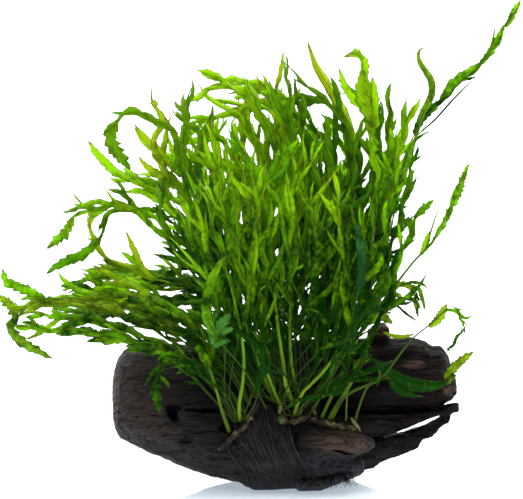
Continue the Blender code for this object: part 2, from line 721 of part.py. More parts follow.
def top_fronds():
    frond("frond_top_left_arch", green_leaf, rear_route(
        (6.0, 8.5), (5, -20, 8), (6, 15, 2), (4, 45, -2), (0, 66, -4), (-8, 77, -6), (-18, 81.5, -8),
        (-27, 79, -10), (-32, 73, -11)), 0.4, 5, 20, 2.2)
    frond("frond_top_rear_arch", green_leaf, rear_route(
        (10.0, 8.0), (12, -20, 20), (17, 20, 34), (16, 56, 40), (9, 78, 42), (0, 85.5, 42),
        (-10, 86.5, 42), (-20, 83.8, 42), (-28.5, 82.3, 42)), 0.4, 5, 16, 1.8, 10)
    frond("frond_top_yellow", yellow_leaf, rear_route(
        (3.0, 9.0), (2, -20, 22), (5, 20, 32), (8, 60, 28), (7, 78, 26), (9.5, 91.5, 25)),
        0.4, 5, 22, 2.0, -15)
    frond("frond_top_dark", deep_leaf, front_route(
        (11.5, -71.5, 1.8), (10, -45, -30), (13, -10, -28), (15, 30, -24), (14, 60, -22),
        (13.5, 88.5, -22)), 0.4, 5, 22, 2.0)
    frond("frond_top_right_arch", deep_leaf, rear_route(
        (16.0, 6.5), (28, -20, 2), (40, 15, 0), (46, 46, -2), (40, 66, -4), (28, 77, -6),
        (20, 83.5, -8), (15, 85, -9)), 0.4, 6, 20, 2.1, 15)
    frond("frond_top_tall_simple", yellow_leaf, rear_route(
        (19.0, 6.5), (30, -20, 14), (42, 10, 18), (48, 40, 18), (44, 62, 16), (36, 78, 14),
        (28, 91, 12), (23, 104, 10)), 0.64, 0, 0, 0, 25, 0.85)
    frond("frond_top_broad", green_leaf, front_route(
        (26.0, -80.5, 2.4), (40, -48, -30), (52, -10, -34), (57, 30, -36), (53, 60, -38),
        (51, 80, -38), (51, 92, -38), (46, 96, -38), (40.5, 94.5, -38)), 0.55, 4, 22, 3.6)
    frond("frond_top_brown_tipped", deep_leaf, rear_route(
        (30.0, 8.5), (46, -22, 16), (58, 10, 20), (64, 45, 20), (65, 66, 20), (63.5, 80, 20)),
        0.4, 5, 22, 2.0, -12)
    frond("frond_top_rear_fan_left", green_leaf, rear_route(
        (-14.0, 8.0), (-18, -22, 30), (-22, 10, 46), (-24, 40, 56), (-22, 62, 62)), 0.3, 6, 26, 2.1)
    frond("frond_top_rear_fan_middle", deep_leaf, rear_route(
        (8.0, 11.5), (9, -24, 34), (10, 5, 52), (10, 35, 62), (6, 58, 70)), 0.3, 6, 26, 2.1, 15)
    frond("frond_top_rear_fan_right", green_leaf, rear_route(
        (26.0, 11.5), (34, -22, 30), (42, 10, 46), (44, 40, 56), (42, 64, 62)), 0.3, 6, 26, 2.1, -15)


def right_fronds():
    frond("frond_right_pointed", green_leaf, rear_route(
        (22.0, 6.5), (42, -22, 0), (58, 5, -8), (66, 36, -14), (70, 56, -16), (75.5, 71.5, -18)),
        0.35, 5, 22, 2.0)
    frond("frond_right_curled_simple", yellow_leaf, rear_route(
        (25.0, 7.0), (46, -24, 4), (66, 5, 4), (74, 40, 2), (79, 66, 0), (84.5, 78, 0), (83, 86, 0),
        (78, 94, 0), (77, 97, 0), (80, 100, 0)), 0.68, 0, 0, 0, 20, 0.8)
    frond("frond_right_longest", green_leaf, rear_route(
        (34.0, 8.0), (52, -24, 24), (66, 5, 34), (71, 35, 38), (75, 55, 38), (83, 69, 38),
        (95, 79, 38), (108, 91, 38), (117, 100, 38), (123, 111, 38), (130.5, 125, 38)),
        0.42, 7, 17, 1.7)
    frond("frond_right_slender", deep_leaf, slab_route(
        (30.0, -83.4), (46, -50, -38), (62, -14, -42), (71, 12, -42), (75, 28, -42),
        (77, 40, -42), (75.5, 50, -42)), 0.45, 5, 24, 1.9, 10)
    frond("frond_right_rear", deep_leaf, rear_route(
        (38.0, 14.0), (54, -30, 30), (68, -14, 44), (78, 2, 52), (84, 14, 56), (89, 22, 58)),
        0.3, 5, 20, 1.9)
    frond("frond_right_toothed", green_leaf, slab_route(
        (34.0, -83.8), (50, -58, -48), (63, -26, -52), (74, -8, -54), (84, 4, -55),
        (91, 17, -56), (96, 30, -56), (101, 40, -56)), 0.5, 5, 10, 1.8)
    frond("frond_right_weeping", yellow_leaf, rear_route(
        (33.0, 5.5), (48, -34, 6), (60, -27, 10), (68, -17.5, 14), (75, -17, 16), (78, -25, 17),
        (79, -33, 17)), 0.5, 4, 9, 1.4)
    frond("frond_right_low_rear", green_leaf, rear_route(
        (39.5, 7.5), (50, -38, 18), (62, -32, 28), (76, -26, 40), (90, -26, 50)), 0.3, 5, 18, 1.8)
    frond("frond_right_low_arc", deep_leaf, front_route(
        (24.0, -76.5, 2.0), (38, -50, -24), (54, -31, -28), (64, -27.5, -30), (71, -31, -31),
        (76, -35, -31)), 0.5, 4, 14, 1.8, 15)
    frond("frond_right_low_trailing", green_leaf, slab_route(
        (38.0, -84.3), (50, -64, -36), (62, -50.5, -32), (75, -43, -30), (85, -36, -30),
        (93, -30, -30), (99, -32, -30), (99.5, -41, -30), (91.5, -48, -30)), 0.52, 5, 12, 1.7)
    frond("frond_right_wet_leaf", green_leaf, slab_route(
        (46.0, -86.6), (49, -76, -36), (53, -67, -38), (62, -64, -34), (76, -67.5, -26),
        (88, -66, -22), (96, -58, -20), (105, -50.5, -20)), 0.45, 0, 0, 0, 60, 0.8)


def front_fronds():
    frond("frond_front_right_upright", green_leaf, front_route(
        (20.5, -79.5, 2.0), (33, -64, -50), (43, -50, -56), (52, -34, -60), (58, -12, -62),
        (61, 12, -62)), 0.4, 5, 22, 2.0)
    frond("frond_front_right_curled", green_leaf, slab_route(
        (42.0, -85.2), (44, -72, -48), (46, -62, -58), (52, -57, -60), (58, -61, -60),
        (55, -71, -58), (49, -82, -56)), 0.45, 4, 9, 2.0)
    frond("frond_front_arched", yellow_leaf, front_route(
        (16.0, -83.0, 2.0), (20, -71, -50), (28, -63, -54), (36, -52, -58), (44, -32, -62),
        (48, -5, -66), (50, 18, -68)), 0.4, 5, 24, 2.1, -12)
    frond("frond_front_middle", green_leaf, front_route(
        (15.0, -75.5, 2.0), (12, -66, -44), (10.5, -55, -46), (8, -38, -48), (5, -12, -50),
        (2, 15, -52), (0, 42, -54)), 0.38, 5, 26, 2.2)
    frond("frond_front_middle_right", yellow_leaf, front_route(
        (18.5, -73.0, 2.0), (15, -58, -40), (14, -38, -42), (15, -12, -42), (18, 18, -42),
        (22, 48, -42)), 0.38, 5, 26, 2.2, 15)
    frond("frond_front_left_tall", green_leaf, front_route(
        (6.5, -75.5, 2.0), (1, -62, -46), (-5, -46, -50), (-12, -18, -52), (-17, 12, -54),
        (-21, 40, -56), (-26, 62, -56)), 0.36, 6, 26, 2.2, -10)
    frond("frond_front_left_inner", yellow_leaf, front_route(
        (9.5, -77.5, 2.0), (4, -64, -50), (-2, -46, -54), (-5, -20, -60), (-6, 10, -64),
        (-9, 40, -66)), 0.36, 5, 26, 2.2, 10)
    frond("frond_front_thick_stalk", green_leaf, front_route(
        (-10.8, -84.6, 1.8), (-11, -76, -48), (-9, -64, -52), (-9, -48, -58), (-14, -22, -66),
        (-22, 6, -72), (-28, 28, -74)), 0.4, 5, 24, 2.2)
    frond("frond_front_left_fan", green_leaf, front_route(
        (-16.0, -90.0, 1.8), (-20, -78, -48), (-23, -66, -54), (-27, -54, -58), (-32, -43, -60)),
        0.5, 3, 16, 3.0)
    frond("frond_front_left_dangling", deep_leaf, front_route(
        (-14.0, -80.5, 1.8), (-23, -69, -48), (-34, -57.5, -52), (-44, -53.5, -55), (-49, -58, -55),
        (-51, -68, -54), (-50, -79, -53)), 0.5, 4, 9, 1.5)
    frond("frond_front_plain_leaf", green_leaf, front_route(
        (2.5, -79.0, 4.0), (-8, -60, -60), (-21, -44, -70), (-27, -30, -74), (-24, -16, -76),
        (-17, -3, -76)), 0.5, 0, 0, 0, 0, 1.0)
    frond("frond_front_blue_leaf", deep_leaf, front_route(
        (24.0, -82.0, 4.5), (38, -56, -60), (48, -26, -68), (49, -6, -70), (46, 16, -70)),
        0.55, 0, 0, 0, 0, 0.95)


for old in list(bpy.data.objects):
    bpy.data.objects.remove(old)

driftwood_look = driftwood_material()
knot_wood_look = knot_wood_material()
rhizome_look = rhizome_material()
root_look = root_material()
deep_leaf = deep_leaf_material()
green_leaf = green_leaf_material()
yellow_leaf = yellow_leaf_material()

wood = [
    driftwood_trunk(), driftwood_rear_limb(), driftwood_front_slab(), driftwood_spike(),
    driftwood_lower_limb(), driftwood_rear_stub()]
wood_trees = [tree_of(piece) for piece in wood]

rhizomes = [left_rhizome(), middle_rhizome(), right_rhizome(), rear_rhizome()]
roots = [
    root_strand(f"root_bundle_{number}", places)
    for number, places in enumerate(ROOT_STRANDS, 1)]
solid_trees = wood_trees + [tree_of(piece) for piece in rhizomes + roots]

left_fronds()
top_fronds()
right_fronds()
front_fronds()
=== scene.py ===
"""The dressed model of an African water fern grown onto a piece of driftwood.

Metres, +Z up, +X to the right of the front, -Y toward the front, in the frame of
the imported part. Routes and outlines are laid out in millimetres as the front
shows them from a little above level: across to the right and up, both from the
middle of the whole plant, and depth toward the back.
"""

import math
import random

import bmesh
import bpy
from mathutils import Matrix, Vector, noise
from mathutils.bvhtree import BVHTree


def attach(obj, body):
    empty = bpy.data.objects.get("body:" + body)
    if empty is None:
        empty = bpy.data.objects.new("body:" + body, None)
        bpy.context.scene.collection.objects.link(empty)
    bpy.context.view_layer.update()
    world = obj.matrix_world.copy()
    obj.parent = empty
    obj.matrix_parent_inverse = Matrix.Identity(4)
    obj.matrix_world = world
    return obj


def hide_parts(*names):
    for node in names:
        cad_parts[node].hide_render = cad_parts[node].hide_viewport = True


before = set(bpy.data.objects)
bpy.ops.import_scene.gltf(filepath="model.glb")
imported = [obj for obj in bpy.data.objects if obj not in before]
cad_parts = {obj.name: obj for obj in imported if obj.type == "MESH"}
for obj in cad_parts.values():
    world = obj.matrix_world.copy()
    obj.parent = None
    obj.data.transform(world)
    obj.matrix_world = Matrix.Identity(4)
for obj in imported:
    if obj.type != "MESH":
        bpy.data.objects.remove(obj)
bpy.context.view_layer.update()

# Driftwood: one grown piece of black bog wood, rotted and split along its grain, with broken ends.
# Its limbs are grown from sections along the grain, joined under one skin, and cut by holes and
# cracks. It stands on its belly, is fastened to nothing, and carries the whole plant.

MM = 0.001
FRONT_TILT = math.radians(8.0)
MIDDLE_TO_PATCH_ACROSS = 12.0
MIDDLE_TO_PATCH_UP = 116.5

# A profile's points are shares of a section: toward the back and toward the top.
# A station along the grain is: across, front, back, low and high, in millimetres.

TRUNK_PROFILE = [
    (-0.35, 0.00), (0.35, 0.00), (0.75, 0.10), (0.97, 0.30), (1.00, 0.55), (0.90, 0.80),
    (0.60, 0.96), (0.15, 1.00), (-0.25, 0.97), (-0.55, 0.86), (-0.78, 0.66), (-0.93, 0.45),
    (-1.00, 0.25), (-0.80, 0.07)]
TRUNK_END_PROFILE = [
    (-0.35, 0.00), (0.35, 0.00), (0.75, 0.10), (0.97, 0.30), (1.00, 0.55), (0.92, 0.80),
    (0.65, 0.96), (0.22, 1.00), (-0.10, 0.96), (-0.26, 0.82), (-0.34, 0.60), (-0.70, 0.47),
    (-0.98, 0.36), (-0.90, 0.07)]
LIMB_PROFILE = [
    (-0.50, 0.02), (0.45, 0.00), (0.92, 0.22), (1.00, 0.62), (0.70, 0.94), (0.05, 1.00),
    (-0.62, 0.92), (-0.97, 0.62), (-0.95, 0.24)]
PLANK_PROFILE = [(-0.9, 0.0), (0.9, 0.0), (1.0, 0.5), (0.85, 1.0), (-0.85, 1.0), (-1.0, 0.5)]
TRUNK_STATIONS = [
    (-74.0, -16.0, 20.0, -82.0, -62.0),
    (-73.2, -24.0, 28.0, -90.5, -55.0),
    (-70.5, -29.0, 33.0, -95.0, -50.5),
    (-66.0, -32.0, 36.0, -97.5, -47.5),
    (-56.0, -35.0, 38.0, -102.0, -46.5),
    (-46.0, -37.0, 39.0, -105.0, -47.0),
    (-36.0, -39.0, 40.0, -109.0, -47.5),
    (-26.0, -40.0, 40.0, -112.5, -47.0),
    (-14.0, -41.0, 40.0, -115.5, -47.5),
    (-4.0, -42.0, 39.0, -121.0, -48.0),
    (8.0, -42.0, 38.0, -121.0, -48.0),
    (18.0, -41.0, 37.0, -121.0, -47.5),
    (29.0, -40.0, 37.0, -121.0, -47.0)]
REAR_LIMB_STATIONS = [
    (-8.0, -6.0, 30.0, -81.0, -52.0),
    (6.0, -8.0, 34.0, -82.0, -49.0),
    (20.0, -10.0, 37.0, -83.0, -47.0),
    (40.0, -11.0, 37.0, -83.0, -46.5),
    (54.0, -11.0, 37.0, -83.0, -46.0),
    (67.0, -10.0, 36.0, -83.0, -45.5),
    (76.0, -9.0, 35.0, -82.5, -45.0),
    (82.0, -8.0, 33.0, -83.0, -46.5),
    (86.0, -8.0, 31.0, -83.0, -49.5),
    (90.0, -7.0, 29.0, -80.8, -48.8),
    (93.5, -4.0, 25.0, -79.0, -53.5),
    (95.6, 0.0, 20.0, -77.0, -60.0),
    (96.8, 3.0, 16.0, -75.0, -65.5)]
FRONT_SLAB_STATIONS = [
    (18.0, -39.5, -13.0, -106.0, -88.5),
    (30.0, -39.5, -13.0, -105.0, -88.8),
    (40.0, -38.5, -13.0, -103.0, -89.8),
    (47.0, -36.0, -14.0, -100.6, -91.3),
    (52.5, -31.0, -15.0, -98.4, -93.2),
    (56.0, -27.0, -17.0, -96.6, -94.8)]
SLAB_PROFILE = [
    (-0.55, 0.02), (0.45, 0.00), (0.92, 0.22), (1.00, 0.70), (0.70, 0.96), (0.05, 0.90),
    (-0.55, 0.99), (-0.93, 0.88), (-1.00, 0.52), (-0.86, 0.20)]
BELLY_STATIONS = [
    (18.0, -38.0, -8.0, -121.0, -100.0),
    (30.0, -36.5, -8.0, -119.0, -100.5),
    (38.0, -34.0, -8.0, -115.5, -101.0),
    (45.0, -32.0, -9.0, -112.7, -101.5),
    (49.5, -30.0, -10.0, -111.0, -102.4),
    (50.8, -29.0, -12.0, -109.5, -104.0)]
SPIKE_STATIONS = [
    (20.0, -9.0, 30.0, -97.6, -80.5),
    (42.0, -9.0, 30.0, -97.0, -80.5),
    (56.0, -8.0, 24.0, -94.0, -80.5),
    (68.0, -6.0, 14.0, -91.4, -80.3),
    (79.0, -5.0, 9.0, -87.5, -80.0),
    (89.5, -4.0, 7.0, -83.7, -79.0),
    (95.5, -3.0, 6.0, -82.9, -77.1),
    (99.0, -2.0, 5.0, -82.4, -76.6)]
LOWER_LIMB_STATIONS = [
    (20.0, -12.0, 31.0, -117.0, -98.6),
    (42.0, -12.0, 31.0, -113.0, -98.2),
    (56.0, -12.0, 27.0, -109.5, -95.6),
    (61.0, -11.0, 22.0, -106.5, -94.4),
    (70.0, -8.0, 14.0, -103.8, -92.5),
    (79.0, -6.0, 10.0, -100.0, -89.0),
    (80.6, -6.0, 9.0, -96.0, -88.4),
    (86.5, -5.0, 8.0, -94.5, -85.6),
    (90.0, -4.0, 7.0, -90.0, -83.8),
    (94.9, -3.0, 6.0, -87.4, -82.0)]
SHOULDER_STATIONS = [
    (-16.0, 12.0, 26.0, -106.0, -70.0),
    (-4.0, 10.0, 31.0, -110.0, -67.0),
    (8.0, 8.0, 35.0, -114.5, -64.0),
    (22.0, 8.0, 37.2, -119.0, -62.0),
    (30.0, 8.0, 36.8, -117.0, -62.0),
    (38.0, 10.0, 35.4, -114.5, -63.0),
    (46.0, 12.0, 33.0, -111.5, -64.0),
    (54.0, 13.0, 29.5, -108.0, -66.0),
    (60.0, 14.0, 25.0, -104.0, -69.0)]
REAR_STUB_STATIONS = [
    (53.5, 8.0, 21.0, -49.0, -41.0),
    (57.0, 6.0, 23.0, -49.0, -38.2),
    (62.0, 6.0, 23.0, -49.0, -37.2),
    (64.5, 8.0, 21.0, -49.0, -39.5)]
FORK_PLANE = 28.0
FORK_BLEND_START = -6.0
WOOD_VOXEL = 0.9 * MM
# Each part: its profile, its stations, the depths at which its low and high outlines are seen, and
# the profile that it changes to at the fork.
WOOD_PARTS = [
    (TRUNK_PROFILE, TRUNK_STATIONS, (-15.0, 10.0), TRUNK_END_PROFILE),
    (LIMB_PROFILE, REAR_LIMB_STATIONS, (-15.0, 10.0)),
    (SLAB_PROFILE, FRONT_SLAB_STATIONS, (-15.0, -15.0)),
    (LIMB_PROFILE, BELLY_STATIONS, (-15.0, -15.0)),
    (PLANK_PROFILE, SPIKE_STATIONS, (-5.0, 8.0)),
    (PLANK_PROFILE, LOWER_LIMB_STATIONS, (-5.0, 8.0)),
    (PLANK_PROFILE, REAR_STUB_STATIONS, (15.0, 15.0)),
    (LIMB_PROFILE, SHOULDER_STATIONS, (0.0, 10.0))]


def spot(across, up, depth):
    """Turn a place of the front view, in millimetres, into metres."""
    height = (up + MIDDLE_TO_PATCH_UP - depth * math.sin(FRONT_TILT)) / math.cos(FRONT_TILT)
    return Vector((across - MIDDLE_TO_PATCH_ACROSS, depth, height)) * MM


def share_of(value):
    """A value kept between 0 and 1."""
    return min(1.0, max(0.0, value))


def wood_section(profile, station, seen_depths):
    """The places of one section of the wood."""
    across, front, back, low, high = station
    bottom = spot(across, low, seen_depths[0]).z / MM
    top = spot(across, high, seen_depths[1]).z / MM
    ring = []
    for toward_back, toward_top in profile:
        depth = 0.5 * (front + back) + toward_back * 0.5 * (back - front)
        height = bottom + toward_top * (top - bottom)
        ring.append(Vector((across - MIDDLE_TO_PATCH_ACROSS, depth, max(height, 0.0))) * MM)
    return ring


def add_wood_part(bm, profile, stations, seen_depths, end_profile=None):
    """Grow one part of the wood from section to section."""
    rings = []
    for station in stations:
        share = share_of((station[0] - FORK_BLEND_START) / (FORK_PLANE - FORK_BLEND_START))
        own_profile = [
            (a[0] + (b[0] - a[0]) * share, a[1] + (b[1] - a[1]) * share)
            for a, b in zip(profile, end_profile or profile)]
        rings.append(wood_section(own_profile, station, seen_depths))
    end = bm.faces.new([bm.verts.new(place) for place in rings[0]])
    for ring in rings[1:]:
        end = bmesh.ops.extrude_discrete_faces(bm, faces=[end])["faces"][0]
        for vert, place in zip(end.verts, ring):
            vert.co = place
    bmesh.ops.holes_fill(bm, edges=[edge for edge in bm.edges if edge.is_boundary])


def in_scene(name, bm):
    """Turn a bmesh into an object of the scene."""
    mesh = bpy.data.meshes.new(name)
    bm.to_mesh(mesh)
    bm.free()
    made = bpy.data.objects.new(name, mesh)
    bpy.context.scene.collection.objects.link(made)
    return made


def show(name, bm, materials, slot, *nodes):
    """Put a finished piece in the scene; it rides on the body and replaces its CAD nodes."""
    piece = in_scene(name, bm)
    for surface in materials:
        piece.data.materials.append(surface)
    for face in piece.data.polygons:
        face.use_smooth = True
    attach(piece, "root")
    if nodes:
        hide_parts(*nodes)
    return piece


# Each hole: its middle, its radii across, in depth and up, and its lean in degrees.
HOLES = [
    ((-44.0, -82.0, -38.0), (2.6, 12.0, 4.4), -14.0),
    ((-28.0, -80.4, -37.5), (12.0, 7.0, 1.25), 2.0),
    ((-18.0, -89.3, -41.5), (3.6, 8.0, 2.6), 8.0),
    ((-47.5, -92.2, -38.5), (1.6, 2.6, 1.6), 20.0),
    ((-37.5, -95.0, -39.5), (3.4, 2.8, 1.9), -16.0),
    ((-39.0, -101.5, -38.5), (4.4, 2.6, 1.6), 10.0),
    ((-63.0, -74.0, -35.0), (5.0, 4.0, 0.5), -4.0),
    ((-58.0, -60.0, -34.0), (8.0, 4.0, 0.5), 3.0),
    ((87.0, -52.0, -6.0), (1.3, 2.6, 1.0), 0.0),
    ((86.0, -55.0, -7.0), (1.5, 2.4, 0.8), -20.0),
    ((31.0, -93.4, -40.0), (5.0, 2.6, 1.5), 4.0),
    ((16.0, -90.5, -41.0), (3.0, 2.5, 1.1), -8.0),
    ((44.0, -101.8, -37.0), (11.0, 3.0, 0.7), 17.0),
    ((24.0, -108.5, -40.0), (7.0, 2.0, 0.6), 5.0),
    ((58.0, -78.5, -11.0), (14.0, 3.5, 1.0), 1.0),
    ((88.5, -70.0, -7.0), (4.5, 2.5, 0.9), 25.0)]
JOINED_HOLES = [
    ((-43.6, -79.6, -38.0), (4.2, 9.0, 2.4), 4.0),
    ((89.5, -53.5, -6.0), (1.0, 2.4, 1.5), 30.0),
    ((44.0, -93.0, -37.5), (7.0, 1.6, 0.8), 6.0)]
RAGGEDNESS = 0.34
RAG_PACE = 1.9


def hole_matrix(place, radii, lean):
    """Takes a unit ball to the hole."""
    return (Matrix.Translation(spot(*place)) @ Matrix.Rotation(math.radians(lean), 4, "Y")
            @ Matrix.Diagonal((*(Vector(radii) * MM), 1.0)))


def ragged(direction, place):
    """How far a hole's wall lies from its middle in a direction, for a unit ball."""
    return 1.0 + RAGGEDNESS * noise.noise(direction * RAG_PACE + Vector(place))


def hole_cutter(holes):
    """Rotted holes, pits and cracks that don't meet each other, as one cutter."""
    bm = bmesh.new()
    for place, radii, lean in holes:
        ball = bmesh.ops.create_icosphere(bm, subdivisions=3, radius=1.0)["verts"]
        for vert in ball:
            vert.co *= ragged(vert.co, place)
        bmesh.ops.transform(bm, matrix=hole_matrix(place, radii, lean), verts=ball)
    return in_scene("hole_cutter", bm)


def joined_wood():
    """The mesh of all parts of the wood under one skin, with its holes cut."""
    bm = bmesh.new()
    for part in WOOD_PARTS:
        add_wood_part(bm, *part)
    bmesh.ops.triangulate(bm, faces=bm.faces)
    bmesh.ops.recalc_face_normals(bm, faces=bm.faces)
    rough = in_scene("rough_driftwood", bm)
    skin = rough.modifiers.new("one_skin", "REMESH")
    skin.mode = "VOXEL"
    skin.voxel_size = WOOD_VOXEL
    cutters = [hole_cutter(HOLES), hole_cutter(JOINED_HOLES)]
    for cutter in cutters:
        cut = rough.modifiers.new("holes", "BOOLEAN")
        cut.operation = "DIFFERENCE"
        cut.solver = "EXACT"
        cut.object = cutter
    bpy.context.view_layer.update()
    depsgraph = bpy.context.evaluated_depsgraph_get()
    joined = bpy.data.meshes.new_from_object(rough.evaluated_get(depsgraph))
    for helper in (rough, *cutters):
        bpy.data.objects.remove(helper)
    return joined


LUMP_HEIGHT = 1.5
RIDGE_HEIGHT = 0.6
FIBRE_HEIGHT = 0.55
CRACK_DEPTH = 1.5
CRACK_WIDTH = 0.03
CALM_LEFT_OF = -60.0
CALM_RIGHT_OF = 45.0
CALM_RIDGES = 0.45


def grain_noise(place, paces, shifts=(0.0, 0.0, 0.0)):
    """Noise at a place in millimetres, with its own pace along each axis."""
    return noise.noise(Vector([value * pace + shift for value, pace, shift in zip(place, paces, shifts)]))


def grain_height(place):
    """How far the weathered surface stands out there, in millimetres."""
    place = place / MM
    lumps = LUMP_HEIGHT * grain_noise(place, (0.022, 0.055, 0.055))
    calm = CALM_RIDGES if place.x > CALM_RIGHT_OF or place.x < CALM_LEFT_OF else 1.0
    ridges = RIDGE_HEIGHT * calm * grain_noise(place, (0.016, 0.23, 0.23), (9.0, 0.0, 0.0))
    fibres = FIBRE_HEIGHT * grain_noise(place, (0.05, 0.9, 0.9), (0.0, 0.0, 5.0))
    split = grain_noise(place, (0.012, 0.14, 0.17), (31.0, 0.0, 0.0))
    crack = -CRACK_DEPTH * max(0.0, 1.0 - abs(split) / CRACK_WIDTH)
    return lumps + ridges + fibres + crack


FARTHEST_ROT = 1.35
ROT_PAST_WALL = 1.06
FULLY_ROTTED_DEPTH = 5.0
ROT_SMOOTHER = 0.9


def rot_at(place, holes):
    """How rotted the wood is there, which also sets how dark the painted shade in its holes is: fully in
    and around a deep hole, less at a shallow one.
    """
    rotted = 0.0
    for to_ball, middle, depth in holes:
        local = to_ball @ place
        away = local.length
        if away < FARTHEST_ROT and away < ragged(local.normalized(), middle) * ROT_PAST_WALL:
            rotted = max(rotted, share_of(depth / FULLY_ROTTED_DEPTH))
    return rotted


def driftwood(look):
    """The driftwood, with its rot and the painted shade of its holes in a UV map, and its grain and cracks
    raised on the skin.
    """
    bm = bmesh.new()
    bm.from_mesh(joined_wood())
    rot_uv = bm.loops.layers.uv.new("rot")
    holes = [(hole_matrix(*hole).inverted(), hole[0], hole[1][1]) for hole in HOLES + JOINED_HOLES]
    rough_shares = []
    for vert in bm.verts:
        rotted = rot_at(vert.co, holes)
        rough_shares.append(1.0 - ROT_SMOOTHER * rotted)
        for loop in vert.link_loops:
            loop[rot_uv].uv = (rotted, 0.0)
    bmesh.ops.smooth_vert(bm, verts=bm.verts, factor=0.5, use_axis_x=True, use_axis_y=True, use_axis_z=True)
    bm.normal_update()
    moves = [
        vert.normal * grain_height(vert.co) * share * MM
        for vert, share in zip(bm.verts, rough_shares)]
    for vert, move in zip(bm.verts, moves):
        vert.co += move
        vert.co.z = max(vert.co.z, 0.0)
    bm.normal_update()
    return show(
        "driftwood", bm, [look], "driftwood", "driftwood_trunk", "driftwood_rear_limb",
        "driftwood_front_slab", "driftwood_spike", "driftwood_lower_limb", "driftwood_rear_stub")


def new_material(name, roughness, colour, specular=0.5):
    """A material with its Principled shader: the material, its nodes and the shader."""
    made = bpy.data.materials.new(name)
    made.use_nodes = True
    made.diffuse_color = (*colour, 1.0)
    shader = made.node_tree.nodes["Principled BSDF"]
    shader.inputs["Roughness"].default_value = roughness
    shader.inputs["Specular IOR Level"].default_value = specular
    shader.inputs["Base Color"].default_value = (*colour, 1.0)
    return made, made.node_tree, shader


def add_node(tree, kind, settings=(), **values):
    """A node with its options and its unlinked inputs set."""
    node = tree.nodes.new(kind)
    for option, value in dict(settings).items():
        setattr(node, option, value)
    for socket, value in values.items():
        node.inputs[socket.replace("_", " ")].default_value = value
    return node


def maths(tree, operation, a, b=None):
    """One Math node, whose inputs are sockets or numbers."""
    node = add_node(tree, "ShaderNodeMath", {"operation": operation})
    for index, value in enumerate((a, b)):
        if value is None:
            continue
        if isinstance(value, (int, float)):
            node.inputs[index].default_value = value
        else:
            tree.links.new(value, node.inputs[index])
    return node.outputs[0]


def mixed(tree, share, a, b):
    """One colour Mix node, whose inputs are sockets or colours."""
    node = add_node(tree, "ShaderNodeMix", {"data_type": "RGBA"})
    tree.links.new(share, node.inputs[0])
    for socket, value in ((node.inputs[6], a), (node.inputs[7], b)):
        if isinstance(value, tuple):
            socket.default_value = (*value, 1.0)
        else:
            tree.links.new(value, socket)
    return node.outputs[2]


def layered(tree, colour, *layers):
    """A colour with layers over it in turn, each a mask, its strength and its colour."""
    for mask, strength, layer in layers:
        colour = mixed(tree, maths(tree, "MULTIPLY", mask, strength), colour, layer)
    return colour


def ranged(tree, value, low, high, new_low=0.0, new_high=1.0):
    """One clamped Map Range node."""
    node = add_node(tree, "ShaderNodeMapRange", {"clamp": True}, From_Min=low, From_Max=high,
                    To_Min=new_low, To_Max=new_high)
    tree.links.new(value, node.inputs["Value"])
    return node.outputs["Result"]


def noise_of(tree, vector, scale, detail=3.0, rough=0.55):
    """One Noise texture's value."""
    node = add_node(tree, "ShaderNodeTexNoise", Scale=scale, Detail=detail, Roughness=rough)
    tree.links.new(vector, node.inputs["Vector"])
    return node.outputs["Fac"]


def object_place(tree, stretch=(1.0, 1.0, 1.0)):
    """Object coordinates, stretched."""
    place = add_node(tree, "ShaderNodeTexCoord").outputs["Object"]
    scaled = add_node(tree, "ShaderNodeMapping")
    scaled.inputs["Scale"].default_value = stretch
    tree.links.new(place, scaled.inputs["Vector"])
    return scaled.outputs["Vector"]


def parts_of(tree, vector):
    """The X, Y and Z of a vector."""
    node = add_node(tree, "ShaderNodeSeparateXYZ")
    tree.links.new(vector, node.inputs[0])
    return tuple(node.outputs)


def kept_values(tree, layer):
    """The two values that a piece keeps in one of its UV maps."""
    return parts_of(tree, add_node(tree, "ShaderNodeUVMap", {"uv_map": layer}).outputs["UV"])[:2]


def raised(tree, height, strength, distance, under=None):
    """The normal of a surface that a height raises, over the normal of a coarser one."""
    bump = add_node(tree, "ShaderNodeBump", Strength=strength, Distance=distance)
    tree.links.new(height, bump.inputs["Height"])
    if under:
        tree.links.new(under, bump.inputs["Normal"])
    return bump.outputs["Normal"]


# Places on the wood that are lighter or darker than the rest: painted shade behind the stalks and under the
# leaves, a painted reflection of the floor on the belly, and worn spots; middle and radius, in metres
SHADED_PLACES = [
    ((-0.006, -0.016, 0.062), 0.062), ((0.024, -0.022, 0.045), 0.026), ((0.034, -0.004, 0.062), 0.036)]
FLOOR_REFLECTION_PLACES = [((0.018, -0.036, 0.006), 0.024)]
WORN_PLACES = [
    ((0.031, -0.036, 0.0265), 0.0155), ((0.0645, -0.007, 0.0605), 0.0045),
    ((0.083, -0.002, 0.0465), 0.005), ((0.047, 0.012, 0.076), 0.009)]
FULL_INSIDE = 0.45
GRAIN_BLACK = (0.0018, 0.0014, 0.0012)
GRAIN_BROWN = (0.0245, 0.0195, 0.0172)
FIBRE_BROWN = (0.058, 0.045, 0.038)
WARM_BROWN = (0.047, 0.028, 0.020)
KNOB_BLACK = (0.0062, 0.0040, 0.0031)
PAINTED_SHEEN_BLUE = (0.0120, 0.0122, 0.0155)
PAINTED_REFLECTION_GREY = (0.050, 0.052, 0.066)
SHADE_BLACK = (0.0016, 0.0012, 0.0010)
WORN_BROWN = (0.088, 0.050, 0.036)
ROT_AND_SHADE_BLACK = (0.0010, 0.0006, 0.0005)
CRACK_BLACK = (0.0008, 0.0006, 0.0005)
PAINTED_GLINT_GREY = (0.16, 0.15, 0.14)
WET_SHINE = 0.25
DULL_SHINE = 0.06


